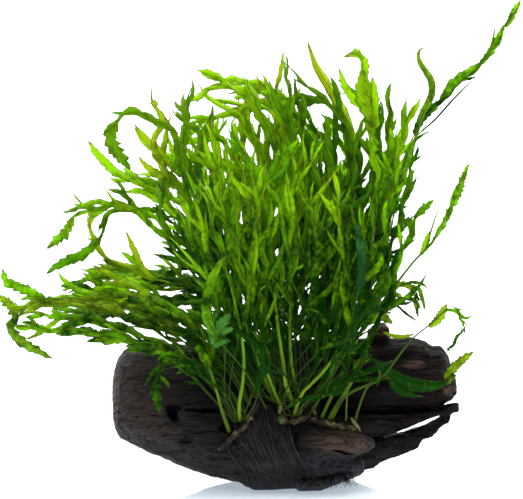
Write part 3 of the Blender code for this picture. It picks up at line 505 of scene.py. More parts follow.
def near_places(tree, axes, places, stretches):
    """How near the surface is to any of some places: 1 well inside a radius, 0 outside."""
    total = None
    for centre, radius in places:
        away = None
        for axis, stretch, middle in zip(axes, stretches, centre):
            offset = maths(tree, "MULTIPLY", maths(tree, "SUBTRACT", axis, middle), stretch)
            squared = maths(tree, "MULTIPLY", offset, offset)
            away = squared if away is None else maths(tree, "ADD", away, squared)
        near = ranged(tree, maths(tree, "SQRT", away), radius * FULL_INSIDE, radius, 1.0, 0.0)
        total = near if total is None else maths(tree, "MAXIMUM", total, near)
    return total


def wood_material():
    """Bog wood: nearly black, long raised grain with black cracks, warm brown where it is worn, black rot
    with painted shade in the holes, painted shade behind the stalks, a painted bluish sheen low down, a
    painted floor reflection on the belly and painted glints.
    """
    made, tree, shader = new_material("bog_wood", 0.5, (0.03, 0.022, 0.018), WET_SHINE)
    place = object_place(tree)
    along = object_place(tree, (0.08, 1.0, 1.0))
    axes = parts_of(tree, place)
    grain = noise_of(tree, along, 620.0, 6.0, 0.65)
    fibre = noise_of(tree, along, 1900.0, 4.0, 0.6)
    split = noise_of(tree, along, 240.0, 3.0, 0.6)
    patches = noise_of(tree, place, 34.0, 4.0)
    grit = noise_of(tree, place, 900.0)
    glint_noise = noise_of(tree, place, 1300.0, 1.0)
    upper = maths(tree, "MULTIPLY", ranged(tree, axes[2], 0.018, 0.065), 0.6)
    left = ranged(tree, axes[0], -0.035, -0.070)
    right = ranged(tree, axes[0], 0.050, 0.075)
    ends = maths(tree, "MAXIMUM", left, right)
    warm = maths(tree, "MULTIPLY", maths(tree, "MAXIMUM", upper, ends), ranged(tree, patches, 0.30, 0.60))
    knobby_end = ranged(tree, axes[0], 0.036, 0.058)
    low_painted_sheen = ranged(tree, axes[2], 0.032, 0.010)
    painted_reflection = near_places(tree, axes, FLOOR_REFLECTION_PLACES, (0.7, 0.6, 1.3))
    shaded = near_places(tree, axes, SHADED_PLACES, (0.75, 0.5, 1.0))
    worn = near_places(tree, axes, WORN_PLACES, (0.6, 0.7, 1.8))
    from_split = maths(tree, "ABSOLUTE", maths(tree, "SUBTRACT", split, 0.5))
    crack = ranged(tree, from_split, 0.004, 0.022, 1.0, 0.0)
    colour = layered(
        tree, mixed(tree, ranged(tree, grain, 0.36, 0.66), GRAIN_BLACK, GRAIN_BROWN),
        (ranged(tree, fibre, 0.50, 0.75), 0.6, FIBRE_BROWN),
        (warm, 0.6, WARM_BROWN),
        (knobby_end, 0.72, KNOB_BLACK),
        # painted sheen: the wood is made cooler and bluish toward the bottom
        (low_painted_sheen, 0.45, PAINTED_SHEEN_BLUE),
        # painted reflection: the belly at the right is made bluish grey, as if it reflected the floor
        (painted_reflection, 0.6, PAINTED_REFLECTION_GREY),
        # painted shade: the wood behind the stalks and under the leaves is darkened to near black
        (shaded, 0.85, SHADE_BLACK),
        (worn, ranged(tree, grain, 0.30, 0.60), WORN_BROWN),
        # rot and painted shade: the holes are blackened, fully where they are deep
        (kept_values(tree, "rot")[0], 0.93, ROT_AND_SHADE_BLACK),
        (crack, 0.85, CRACK_BLACK),
        # painted highlights: tiny grey glints speckled over the wood
        (ranged(tree, glint_noise, 0.76, 0.80), 0.5, PAINTED_GLINT_GREY))
    tree.links.new(colour, shader.inputs["Base Color"])
    dull = maths(tree, "MAXIMUM", knobby_end, shaded)
    tree.links.new(
        ranged(tree, dull, 0.0, 1.0, WET_SHINE, DULL_SHINE), shader.inputs["Specular IOR Level"])
    tree.links.new(ranged(tree, grit, 0.3, 0.7, 0.40, 0.72), shader.inputs["Roughness"])
    height = maths(tree, "SUBTRACT", grain, maths(tree, "MULTIPLY", crack, 0.5))
    coarse = raised(tree, height, 1.0, 1.0 * MM)
    tree.links.new(raised(tree, fibre, 0.7, 0.5 * MM, coarse), shader.inputs["Normal"])
    return made


wood = driftwood(wood_material())
wood_tree = BVHTree.FromObject(wood, bpy.context.evaluated_depsgraph_get())

# Rhizomes: the fern's creeping stems, about 3 mm thick, lumpy with the feet of old leaves and covered
# in papery golden-brown scales. They creep over the front and the top of the wood, held by their
# roots, and the fronds and a few rolled-up young shoots stand on them.

PROBE_DEPTH = -120.0
PROBE_HEIGHT = 200.0
VIEW = Vector((0.0, math.cos(FRONT_TILT), -math.sin(FRONT_TILT)))
RIGHT_RHIZOME_DEPTH = -26.0
CURVE_STEPS = 10


def touch_wood(across, up, lift):
    """The place on the wood that the front view shows there, lifted toward the viewer."""
    hit = wood_tree.ray_cast(spot(across, up, PROBE_DEPTH), VIEW)[0]
    return hit - VIEW * lift * MM if hit else None


def on_top(across, depth, lift):
    """The place on top of the wood there, lifted straight up."""
    start = Vector((across - MIDDLE_TO_PATCH_ACROSS, depth, PROBE_HEIGHT)) * MM
    hit = wood_tree.ray_cast(start, Vector((0.0, 0.0, -1.0)))[0]
    return hit + Vector((0.0, 0.0, lift * MM))


def smooth_route(points):
    """A dense curve that passes through every point of a route."""
    ends = [2 * points[0] - points[1], *points, 2 * points[-1] - points[-2]]
    curve = []
    for before, start, stop, after in zip(ends, ends[1:], ends[2:], ends[3:]):
        for step in range(CURVE_STEPS):
            t = step / CURVE_STEPS
            curve.append(0.5 * (
                2 * start + (stop - before) * t
                + (2 * before - 5 * start + 4 * stop - after) * t ** 2
                + (3 * start - 3 * stop + after - before) * t ** 3))
    curve.append(points[-1].copy())
    return curve


def length_of(curve):
    """A curve's length in millimetres."""
    return sum((b - a).length for a, b in zip(curve, curve[1:])) / MM


def even_places(curve, steps, start=0.0, stop=1.0):
    """Places at even distances along a share of a curve."""
    reached = [0.0]
    for a, b in zip(curve, curve[1:]):
        reached.append(reached[-1] + (b - a).length)
    places = []
    index = 0
    for step in range(steps + 1):
        wanted = reached[-1] * (start + (stop - start) * step / steps)
        while index < len(curve) - 2 and reached[index + 1] < wanted:
            index += 1
        span = max(reached[index + 1] - reached[index], 1e-9)
        places.append(curve[index].lerp(curve[index + 1], (wanted - reached[index]) / span))
    return places


def carried_frames(places, turn):
    """(place, side, face, heading) along a curve, which don't twist about it."""
    frames = []
    side = None
    for index, place in enumerate(places):
        ahead = places[min(index + 1, len(places) - 1)]
        behind = places[max(index - 1, 0)]
        heading = (ahead - behind).normalized()
        if side is None:
            side = heading.cross(Vector((0.0, -1.0, 0.0))).normalized()
            side = Matrix.Rotation(turn, 3, heading) @ side
        side = (side - heading * side.dot(heading)).normalized()
        frames.append((place, side, heading.cross(side), heading))
    return frames


FRESH_HEIGHT = 125.0 * MM
FRESH_SPAN = 115.0 * MM
FAR_LEFT = 35.0 * MM
FAR_LEFT_SPAN = 50.0 * MM
FAR_LEFT_FRESHER = 0.22
# The shady place paints shade: leaves low on the right are made deeper green.
SHADY_ACROSS = 32.0 * MM
SHADY_HALF_WIDTH = 40.0 * MM
SHADY_UP = 108.0 * MM
SHADY_HALF_HEIGHT = 50.0 * MM
SHADY_DARKER = 0.27
LEAFY_TUBE_UV = (0.1, 0.4)
TUBE_SIDES = 8
scratch = bpy.data.meshes.new("scratch")


def tone_with_painted_shade(place):
    """How much yellower green parts are there: more toward the top and far left, less toward the foot,
    partly for older leaves and partly as painted shade, and less low on the right, as painted shade.
    """
    left = share_of((-place.x - FAR_LEFT) / FAR_LEFT_SPAN)
    aside = (place.x - SHADY_ACROSS) / SHADY_HALF_WIDTH
    above = (place.z - SHADY_UP) / SHADY_HALF_HEIGHT
    shady = max(0.0, 1.0 - (aside ** 2 + above ** 2))
    return (place.z - FRESH_HEIGHT) / FRESH_SPAN + FAR_LEFT_FRESHER * left - SHADY_DARKER * shady


def add_tube(bm, places, radii, sides, stalk_index=0, leafy_from=1.0, tone=0.5, bright=0.5):
    """A closed round tube through places, with a radius in millimetres at each.

    A stalk has its own material up to the share leafy_from of its length, and the leaf's beyond.
    """
    rings = []
    for (place, side, face, heading), radius in zip(carried_frames(places, 0.0), radii):
        matrix = Matrix((side, face, heading)).transposed().to_4x4()
        matrix.translation = place
        rings.append(matrix @ Matrix.Scale(radius * MM, 4))
    tube = bmesh.new()
    leaf_uv = tube.loops.layers.uv.new("leaf")
    tone_uv = tube.loops.layers.uv.new("tone")
    verts = bmesh.ops.create_circle(
        tube, cap_ends=True, segments=sides, radius=1.0, matrix=rings[0])["verts"]
    end = verts[0].link_faces[0]
    start_edges = list(end.edges)
    leafy_step = (len(rings) - 1) * leafy_from
    for step, (old, new) in enumerate(zip(rings, rings[1:])):
        end = bmesh.ops.extrude_discrete_faces(tube, faces=[end])["faces"][0]
        bmesh.ops.transform(tube, matrix=new @ old.inverted(), verts=end.verts)
        for edge in end.edges:
            for face in edge.link_faces:
                face.material_index = 0 if step > leafy_step else stalk_index
    bmesh.ops.holes_fill(tube, edges=[edge for edge in start_edges if edge.is_boundary])
    for face in tube.faces:
        for loop in face.loops:
            loop[leaf_uv].uv = LEAFY_TUBE_UV
            loop[tone_uv].uv = (tone + tone_with_painted_shade(loop.vert.co), bright)
    bmesh.ops.recalc_face_normals(tube, faces=tube.faces)
    tube.to_mesh(scratch)
    tube.free()
    bm.from_mesh(scratch)


def fibre_material(name, dark, light, scale, roughness):
    """Rhizome scales, root fibres and young shoots: dull and mottled."""
    made, tree, shader = new_material(name, roughness, light)
    place = object_place(tree)
    patches = ranged(tree, noise_of(tree, place, scale * 0.22), 0.48, 0.60)
    mottle = ranged(tree, noise_of(tree, place, scale, 4.0), 0.35, 0.68)
    share = maths(tree, "MULTIPLY", mottle, patches)
    tree.links.new(mixed(tree, share, dark, light), shader.inputs["Base Color"])
    fine = noise_of(tree, place, scale * 4.0)
    tree.links.new(raised(tree, fine, 0.5, 0.3 * MM), shader.inputs["Normal"])
    return made


SCALES = fibre_material("rhizome_scales", (0.014, 0.009, 0.004), (0.300, 0.215, 0.055), 620.0, 0.75)
SHOOT = fibre_material("young_shoot", (0.04, 0.06, 0.006), (0.20, 0.23, 0.03), 500.0, 0.45)
RHIZOME_RADIUS = 1.25
RHIZOME_STEP = 0.9
LUMPINESS = 0.25
UNEVEN = 0.4
SCALES_PER_MM = 9.0
SCALE_HALF_WIDTH = 0.42
SCALE_POINT = 0.04
SCALE_LENGTH = 1.7
GOLDEN_TURN = 2.399963


def rhizome(name, node, lumps, route):
    """One creeping stem through a route, with a number of swellings and hundreds of scales."""
    seed = random.Random(name)
    curve = smooth_route(route)
    length = length_of(curve)
    steps = round(length / RHIZOME_STEP)
    bm = bmesh.new()
    radii = []
    for step in range(steps + 1):
        share = step / steps
        rounded = min(1.0, 0.35 + 6.0 * share, 0.35 + 6.0 * (1.0 - share))
        swelling = 1.0 + LUMPINESS * math.sin(lumps * math.tau * share)
        radii.append(RHIZOME_RADIUS * rounded * swelling * seed.uniform(0.88, 1.12))
    places = [
        place + Vector((seed.uniform(-UNEVEN, UNEVEN), 0.0, seed.uniform(-UNEVEN, UNEVEN))) * MM
        for place in even_places(curve, steps)]
    add_tube(bm, places, radii, TUBE_SIDES)
    frames = carried_frames(places, 0.0)
    for number in range(round(length * SCALES_PER_MM)):
        index = seed.randrange(1, steps)
        place, side, face, heading = frames[index]
        around = GOLDEN_TURN * number
        out = side * math.cos(around) + face * math.sin(around)
        along = heading * seed.uniform(0.4, 1.1) * seed.choice((1.0, 1.0, -1.0))
        lean = (along + out * seed.uniform(0.5, 1.0)).normalized()
        across = lean.cross(out).normalized()
        matrix = Matrix((across * 0.9, lean.cross(across) * 0.3, lean)).transposed().to_4x4()
        size = seed.uniform(0.6, 1.3)
        matrix.translation = place + out * radii[index] * 0.9 * MM + lean * 0.5 * size * MM
        bmesh.ops.create_cone(
            bm, cap_ends=True, segments=4, radius1=SCALE_HALF_WIDTH * size * MM, radius2=SCALE_POINT * MM,
            depth=SCALE_LENGTH * size * MM, matrix=matrix)
    bmesh.ops.recalc_face_normals(bm, faces=bm.faces)
    return show(name, bm, [SCALES], "rhizome", node)


rhizome("left_creeping_stem", "rhizome_left", 6, [
    touch_wood(*place, 1.4) for place in
    ((-21.5, -99.5), (-17.5, -96.5), (-14.0, -93.0), (-8.0, -87.0), (-4.0, -80.0), (-1.0, -75.0))])
rhizome("middle_creeping_stem", "rhizome_middle", 4, [
    touch_wood(*place, 1.6) for place in ((5.0, -84.0), (10.0, -85.0), (16.0, -85.5), (24.0, -83.0))])
rhizome("right_creeping_stem", "rhizome_right", 5, [
    spot(*place, RIGHT_RHIZOME_DEPTH)
    for place in ((24.5, -84.5), (29.5, -86.0), (35.0, -86.8), (41.0, -88.4), (47.5, -89.6))])
rhizome("rear_creeping_stem", "rhizome_rear", 9, [
    on_top(*place, 1.4) for place in
    ((-17.0, 7.0), (-8.0, 7.5), (2.0, 9.0), (12.0, 8.0), (20.0, 6.0), (30.0, 8.5), (40.0, 11.0))])

# Each bud: its place in the front view, its radius, its half length and its lean in degrees
BUDS = [
    ((10.0, -84.6), 2.3, 2.6, 10.0), ((9.2, -79.5), 1.3, 3.8, 12.0), ((26.0, -80.5), 0.9, 3.0, -15.0),
    ((19.0, -81.5), 1.1, 3.4, 25.0)]
BUD_LIFT = 2.2
HOOKED_SHOOT = [(44.5, -83.5, -30.0), (46.0, -86.0, -30.5), (48.2, -88.6, -31.5), (49.2, -90.6, -33.0)]
HOOKED_SHOOT_RADII = [0.4, 0.6, 0.8, 0.95, 0.9, 0.8, 0.6, 0.4, 0.2]


def young_shoots():
    """Buds and stubs of young leaves, still rolled up."""
    bm = bmesh.new()
    for place, radius, half_length, lean in BUDS:
        ball = bmesh.ops.create_uvsphere(bm, u_segments=12, v_segments=8, radius=1.0)["verts"]
        bmesh.ops.scale(bm, vec=Vector((radius, radius, half_length)) * MM, verts=ball)
        bmesh.ops.rotate(bm, matrix=Matrix.Rotation(math.radians(lean), 3, "Y"), verts=ball)
        bmesh.ops.translate(bm, vec=touch_wood(*place, BUD_LIFT), verts=ball)
    curve = smooth_route([spot(*place) for place in HOOKED_SHOOT])
    add_tube(bm, even_places(curve, len(HOOKED_SHOOT_RADII) - 1), HOOKED_SHOOT_RADII, TUBE_SIDES)
    return show("young_shoots", bm, [SHOOT], "rhizome")


young_shoots()

# Roots: hundreds of thin, dark, wiry fibres that grow from the rhizomes, run down the front of the
# wood and grip it. Shorter hairs hang under the belly at the right.

FIBRE = fibre_material("root_fibre", (0.0006, 0.0005, 0.0005), (0.012, 0.009, 0.008), 330.0, 0.42)
ROOT_COUNT = 420
ROOT_STARTS = (-17.0, 12.0, -3.0)
ROOT_START_UP = -77.0
ROOT_END_UPS = (-119.0, -106.0)
ROOT_SWAY = 2.2
ROOT_STEPS = 16
FEWEST_PLACES = 5
ROOT_SIDES = 3
ROOT_RADII = (0.16, 0.2, 0.26, 0.34, 0.55)
ROOT_TAPER = 0.6
DEEPEST_ROOT = -18.0 * MM
HAIR_COUNT = 120
HAIR_FOOT_DEPTH = -33.0
HAIR_RADII = [0.26, 0.25, 0.23, 0.20, 0.18, 0.15, 0.12, 0.08]
FLOOR_GAP = 0.4 * MM


def add_gripping_roots(bm, seed):
    """Roots that lie on the front of the wood, heaped over the three thick bundles."""
    for number in range(ROOT_COUNT):
        start_across = seed.triangular(*ROOT_STARTS)
        below = 0.9 * min(0.0, start_across - ROOT_STARTS[2])
        start_up = ROOT_START_UP + below - seed.uniform(0.0, 9.0)
        end_across = start_across * 0.8 + seed.gauss(12.0, 4.0)
        end_up = seed.uniform(*ROOT_END_UPS)
        sway = seed.uniform(-ROOT_SWAY, ROOT_SWAY)
        places = []
        for step in range(ROOT_STEPS + 1):
            share = step / ROOT_STEPS
            across = start_across + (end_across - start_across) * share ** 1.2
            across += sway * math.sin(math.pi * 1.6 * share + number)
            up = start_up + (end_up - start_up) * share
            from_middle = abs(across - 2.0 - 12.0 * share) / 14.0
            heaped = math.sin(math.pi * min(1.0, 0.15 + share)) * max(0.0, 1.0 - from_middle)
            hit = touch_wood(across, up, 0.2 + (0.6 + 2.2 * heaped) * ((number * 0.37) % 1.0))
            if hit is None or hit.y > DEEPEST_ROOT:
                break
            places.append(hit)
        if len(places) < FEWEST_PLACES:
            continue
        thick = seed.choice(ROOT_RADII)
        radii = [thick * (1.0 - ROOT_TAPER * index / len(places)) for index in range(len(places))]
        add_tube(bm, places, radii, ROOT_SIDES)


def add_hairs(bm, seed):
    """Short hairs that hang free under the belly."""
    for _ in range(HAIR_COUNT):
        across = 20.0 + 25.0 * seed.random() ** 1.5
        start = spot(across, -113.0 + 0.10 * (across - 20.0), HAIR_FOOT_DEPTH)
        end = spot(
            across + seed.uniform(-2.5, 5.5), seed.uniform(-119.0, -114.5), seed.uniform(-48.0, -36.0))
        end.z = max(end.z, FLOOR_GAP)
        aside = Vector((seed.uniform(-1.5, 1.5), -1.0, seed.uniform(-1.0, 1.0))) * MM
        curve = smooth_route([start, start.lerp(end, 0.5) + aside, end])
        add_tube(bm, even_places(curve, len(HAIR_RADII) - 1), HAIR_RADII, ROOT_SIDES)


def root_mat():
    """All roots as one mat."""
    seed = random.Random("root_mat")
    bm = bmesh.new()
    add_gripping_roots(bm, seed)
    add_hairs(bm, seed)
    bmesh.ops.recalc_face_normals(bm, faces=bm.faces)
    return show("root_mat", bm, [FIBRE], "root", "root_bundle_1", "root_bundle_2", "root_bundle_3")


root_mat()

# Fronds: tufts of thin, wet, translucent leaves. A round stalk runs on as a winged midrib, whose
# wings part into long, toothed, often forked lobes; a few leaves are plain ribbons. Each tuft grows
# from one foot on a rhizome, and its leaves are folded, curled and twisted every way.

MARGIN_BROWN = (0.100, 0.055, 0.004)
VEINS_ALONG = 75.0
VEINS_SLANT = -26.0
LEAF_BUMP = 0.2 * MM


def mottled(tree, value, *speckles):
    """A value made uneven by noises, each with its gain."""
    for speckle, gain in speckles:
        uneven = maths(tree, "MULTIPLY", maths(tree, "SUBTRACT", speckle, 0.5), gain)
        value = maths(tree, "ADD", value, uneven)
    return value


def leaf_tissue():
    """Leaf colour: midrib and slanting veins from its UV, mottling, a dark margin and a dry tip."""
    group = bpy.data.node_groups.new("leaf_tissue", "ShaderNodeTree")
    for label in ("Deep", "Fresh", "Tip"):
        group.interface.new_socket(label, in_out="INPUT", socket_type="NodeSocketColor")
    for label, kind in (("Color", "NodeSocketColor"), ("Height", "NodeSocketFloat")):
        group.interface.new_socket(label, in_out="OUTPUT", socket_type=kind)
    deep, fresh, tip = tuple(group.nodes.new("NodeGroupInput").outputs)[:3]
    result = group.nodes.new("NodeGroupOutput")
    across, along = kept_values(group, "leaf")
    tone, dryness = kept_values(group, "tone")
    place = object_place(group)
    mottle = noise_of(group, place, 170.0)
    from_rib = maths(group, "ABSOLUTE", maths(group, "SUBTRACT", across, 0.5))
    rib = ranged(group, from_rib, 0.02, 0.07, 1.0, 0.0)
    slant = maths(group, "ADD", maths(group, "MULTIPLY", along, VEINS_ALONG),
                  maths(group, "MULTIPLY", from_rib, VEINS_SLANT))
    vein = ranged(group, maths(group, "SINE", slant), 0.7, 1.0)
    yellowness = mottled(
        group, tone, (noise_of(group, place, 38.0, 2.0), 1.3), (mottle, 1.9),
        (noise_of(group, place, 560.0), 1.1))
    colour = layered(
        group, mixed(group, ranged(group, yellowness, 0.0, 1.0), deep, fresh),
        (rib, ranged(group, yellowness, -0.3, 0.5, 0.04, 0.2), fresh),
        (ranged(group, from_rib, 0.36, 0.5), 0.6, deep),
        (ranged(group, from_rib, 0.43, 0.5), 0.3, MARGIN_BROWN),
        (vein, 0.3, deep),
        (ranged(group, along, 0.90, 1.0), dryness, tip))
    sunlit = add_node(group, "ShaderNodeHueSaturation", Hue=0.468, Saturation=1.0, Value=1.0)
    group.links.new(ranged(group, tone, 0.45, 1.15), sunlit.inputs["Fac"])
    group.links.new(colour, sunlit.inputs["Color"])
    group.links.new(sunlit.outputs["Color"], result.inputs["Color"])
    grooves = maths(group, "ADD", maths(group, "MULTIPLY", rib, -1.0), maths(group, "MULTIPLY", vein, -0.4))
    height = maths(group, "ADD", grooves, maths(group, "MULTIPLY", mottle, 0.8))
    group.links.new(height, result.inputs["Height"])
    return group


leaf_tissue_group = leaf_tissue()


def leaf_material(name, deep, fresh, tip, through):
    """A thin wet leaf that lets the light behind it through, as strongly as the last value says."""
    made, tree, shader = new_material(name, 0.38, fresh, 0.06)
    tissue = add_node(tree, "ShaderNodeGroup", {"node_tree": leaf_tissue_group})
    for socket, colour in (("Deep", deep), ("Fresh", fresh), ("Tip", tip)):
        tissue.inputs[socket].default_value = (*colour, 1.0)
    normal = raised(tree, tissue.outputs["Height"], 0.5, LEAF_BUMP)
    glow = add_node(tree, "ShaderNodeBsdfTranslucent")
    bright = add_node(tree, "ShaderNodeHueSaturation", Hue=0.497, Saturation=1.1, Value=through)
    both = add_node(tree, "ShaderNodeMixShader", Fac=0.5)
    for source, socket in (
            (tissue.outputs["Color"], shader.inputs["Base Color"]),
            (normal, shader.inputs["Normal"]),
            (tissue.outputs["Color"], bright.inputs["Color"]),
            (bright.outputs["Color"], glow.inputs["Color"]),
            (normal, glow.inputs["Normal"]),
            (shader.outputs[0], both.inputs[1]),
            (glow.outputs[0], both.inputs[2]),
            (both.outputs[0], tree.nodes["Material Output"].inputs["Surface"])):
        tree.links.new(source, socket)
    return made


def stalk_material():
    """Smooth juicy stalks, yellow-green, browner near the rhizome."""
    made, tree, shader = new_material("stalk_green", 0.5, (0.16, 0.26, 0.02), 0.08)
    place = object_place(tree)
    streaks = noise_of(tree, object_place(tree, (1.0, 1.0, 0.06)), 900.0)
    near_foot = ranged(tree, parts_of(tree, place)[2], 0.028, 0.075, 1.0, 0.0)
    brightness = mottled(tree, kept_values(tree, "tone")[1], (noise_of(tree, place, 60.0), 0.8))
    colour = layered(
        tree, mixed(tree, ranged(tree, brightness, 0.0, 1.0), (0.010, 0.045, 0.003), (0.155, 0.330, 0.008)),
        (ranged(tree, streaks, 0.45, 0.8), 0.5, (0.04, 0.10, 0.006)),
        (near_foot, 0.35, (0.10, 0.085, 0.02)))
    tree.links.new(colour, shader.inputs["Base Color"])
    tree.links.new(raised(tree, streaks, 0.4, LEAF_BUMP), shader.inputs["Normal"])
    return made


STALK = stalk_material()
GREY_TIP = (0.060, 0.080, 0.035)
BROWN_TIP = (0.210, 0.120, 0.030)
OLIVE_TIP = (0.120, 0.100, 0.025)
DEEP = leaf_material("fern_deep_green", (0.007, 0.045, 0.001), (0.108, 0.320, 0.002), GREY_TIP, 2.1)
GREEN = leaf_material("fern_green", (0.007, 0.064, 0.001), (0.228, 0.510, 0.003), OLIVE_TIP, 2.0)
YELLOW = leaf_material("fern_yellow_green", (0.014, 0.085, 0.001), (0.320, 0.500, 0.012), BROWN_TIP, 1.75)
INNER = leaf_material("fern_inner_green", (0.007, 0.064, 0.001), (0.275, 0.550, 0.003), BROWN_TIP, 1.9)
TEAL = leaf_material("fern_teal", (0.010, 0.080, 0.007), (0.085, 0.320, 0.040), GREY_TIP, 1.8)
BLUISH = leaf_material("fern_bluish", (0.012, 0.075, 0.014), (0.070, 0.260, 0.060), GREY_TIP, 1.8)
SLOT_OF = {
    DEEP: "leaf_deep_green", GREEN: "leaf_green", YELLOW: "leaf_yellow_green",
    INNER: "leaf_yellow_green", BLUISH: "leaf_deep_green"}

FOREMOST = -69.0 * MM
REARMOST = 68.0 * MM
DEPTH_SWAY = 22.0 * MM
DEPTH_SWAY_PACE = 24.0
PAST_LIMIT_SHARE = 0.2


def within_depth(place):
    """A place drawn back to the depth that the fronds have, front and rear."""
    sway = DEPTH_SWAY * abs(noise.noise(Vector((place.x, 0.0, place.z)) * DEPTH_SWAY_PACE))
    front = FOREMOST + sway
    rear = REARMOST - sway
    depth = max(place.y, front + PAST_LIMIT_SHARE * (place.y - front))
    depth = min(depth, rear + PAST_LIMIT_SHARE * (depth - rear))
    return Vector((place.x, depth, place.z))


def frames_within_depth(frames):
    """Frames whose places are drawn back where they lie too far out."""
    return [(within_depth(place), side, face, heading) for place, side, face, heading in frames]


NOTCH_DEPTH = 0.22
TOOTH_STEP = 0.20
TOOTH_PACE = 1.1
TOOTH_LEAN = 0.35


def tooth_pattern(seed, rows, strength):
    """How far the edge stands out at each row: irregular teeth that point to the tip."""
    edge = []
    gap = seed.choice((2, 3, 4))
    since = seed.randrange(3)
    for _ in range(rows + 1):
        since += 1
        edge.append(1.0 - strength * NOTCH_DEPTH + strength * TOOTH_STEP * since)
        if since >= gap:
            since = 0
            gap = seed.choice((2, 3, 3, 4))
    return edge


def lay_blade(bm, seed, frames, half_widths, tone, dryness, fold, wave, toothed, look_index=0):
    """One leaf blade on a row of frames: a grid three points wide, shaped edge by edge."""
    rows = len(frames) - 1
    blade = bmesh.new()
    leaf_uv = blade.loops.layers.uv.new("leaf")
    tone_uv = blade.loops.layers.uv.new("tone")
    edges = {-1: tooth_pattern(seed, rows, toothed), 1: tooth_pattern(seed, rows, toothed)}
    phase = seed.uniform(0.0, 6.0)
    bmesh.ops.create_grid(blade, x_segments=2, y_segments=rows, size=1.0)
    cells = {vert: (round(vert.co.x), round((vert.co.y + 1.0) / 2.0 * rows)) for vert in blade.verts}
    for face in blade.faces:
        face.material_index = look_index
        for loop in face.loops:
            column, row = cells[loop.vert]
            loop[leaf_uv].uv = (0.5 + 0.5 * column, row / rows)
            loop[tone_uv].uv = (tone + tone_with_painted_shade(frames[row][0]), dryness)
    for vert, (column, row) in cells.items():
        place, side, face, heading = frames[row]
        width = half_widths[row]
        if column and 0 < row < rows:
            width *= edges[column][row]
        ripple = wave * math.sin(row * TOOTH_PACE + 2.0 * column + phase)
        vert.co = (
            place + side * (column * width * MM) + face * (abs(column) * width * (fold + ripple) * MM)
            + heading * (abs(column) * TOOTH_LEAN * width * MM))
    blade.to_mesh(scratch)
    blade.free()
    bm.from_mesh(scratch)


BLADE_ROWS = 22


def ribbon_widths(half_width, narrowest, foot, power):
    """Half widths of a plain ribbon: it starts at a share of its swell and ends in a point."""
    widths = []
    for row in range(BLADE_ROWS + 1):
        share = min(1.0, foot + (1.0 - foot) * row / BLADE_ROWS)
        widths.append(max(narrowest, half_width * math.sin(math.pi * share) ** power))
    return widths


LOBE_ROWS = 11
THREAD_SHARE = 0.16
LEAST_HALF_WIDTH = 0.13


def lobe_widths(half_width, thread):
    """A broad foot that runs down the midrib, even sides, a drawn-out tip."""
    widths = []
    for row in range(LOBE_ROWS + 1):
        share = row / LOBE_ROWS
        swell = min(1.0, 0.75 + 0.8 * share) * (1.0 - max(0.0, (share - 0.5) / 0.5) ** 2.3)
        if thread:
            swell *= max(0.0, 1.0 - 1.9 * share) ** 0.8
        widths.append(max(half_width * swell, LEAST_HALF_WIDTH))
    return widths


def lobe_frames(base, reach, open_angle, tip_angle, sign, lift, curl, twist, droop):
    """A lobe's midline: it leaves along the midrib, opens outward and leans back to the tip.

    Angles are in degrees: outward at the foot and the tip, then lift, curl and twist.
    """
    open_angle, tip_angle, lift, curl, twist = (
        math.radians(angle) for angle in (open_angle, tip_angle, lift, curl, twist))
    place, side, face, heading = base
    frames = []
    step = reach / LOBE_ROWS * MM
    for row in range(LOBE_ROWS + 1):
        share = row / LOBE_ROWS
        angle = open_angle * min(1.0, 0.45 + share / 0.4)
        angle += (tip_angle - open_angle) * min(1.0, share * 1.25) ** 1.3
        out = lift * min(1.0, share / 0.3) + curl * share * share
        ahead = heading * math.cos(angle) + side * (sign * math.sin(angle))
        ahead = ahead * math.cos(out) + face * math.sin(out)
        ahead.z -= droop * share
        ahead.normalize()
        flat = (face - ahead * face.dot(ahead)).normalized()
        flat = Matrix.Rotation(twist * share, 3, ahead) @ flat
        frames.append((place.copy(), flat.cross(ahead), flat, ahead))
        place = place + ahead * step
    return frames


MIDRIB_BEND = 0.9


def turned_frames(seed, curve, rows, start, turn, most, bends=0.0):
    """Frames along the leafy share of a curve, which turn slowly about it and bend at each lobe."""
    twist = seed.uniform(-most, most)
    straight = carried_frames(even_places(curve, rows, start), turn)
    bent = []
    for row, (place, side, face, heading) in enumerate(straight):
        bend = MIDRIB_BEND * min(1.0, 4.0 * row / rows) * math.sin(math.pi * bends * row / rows)
        bent.append(place + side * (bend * MM))
    frames = []
    for row, (place, side, face, heading) in enumerate(carried_frames(bent, turn)):
        rotation = Matrix.Rotation(twist * row / rows, 3, heading)
        frames.append((place, rotation @ side, rotation @ face, heading))
    return frames


SIMPLE_HALF_WIDTH = 3.2


def simple_blade(bm, seed, curve, bare, turn, simple, tone):
    """A plain leaf without lobes: one long ribbon on its stalk."""
    frames = turned_frames(seed, curve, BLADE_ROWS, bare * 0.9, turn, 0.5)
    widths = ribbon_widths(SIMPLE_HALF_WIDTH * simple, 0.12, 0.08, 0.62)
    lay_blade(bm, seed, frames, widths, tone, dryness=0.8, fold=0.25, wave=0.08, toothed=0.3)


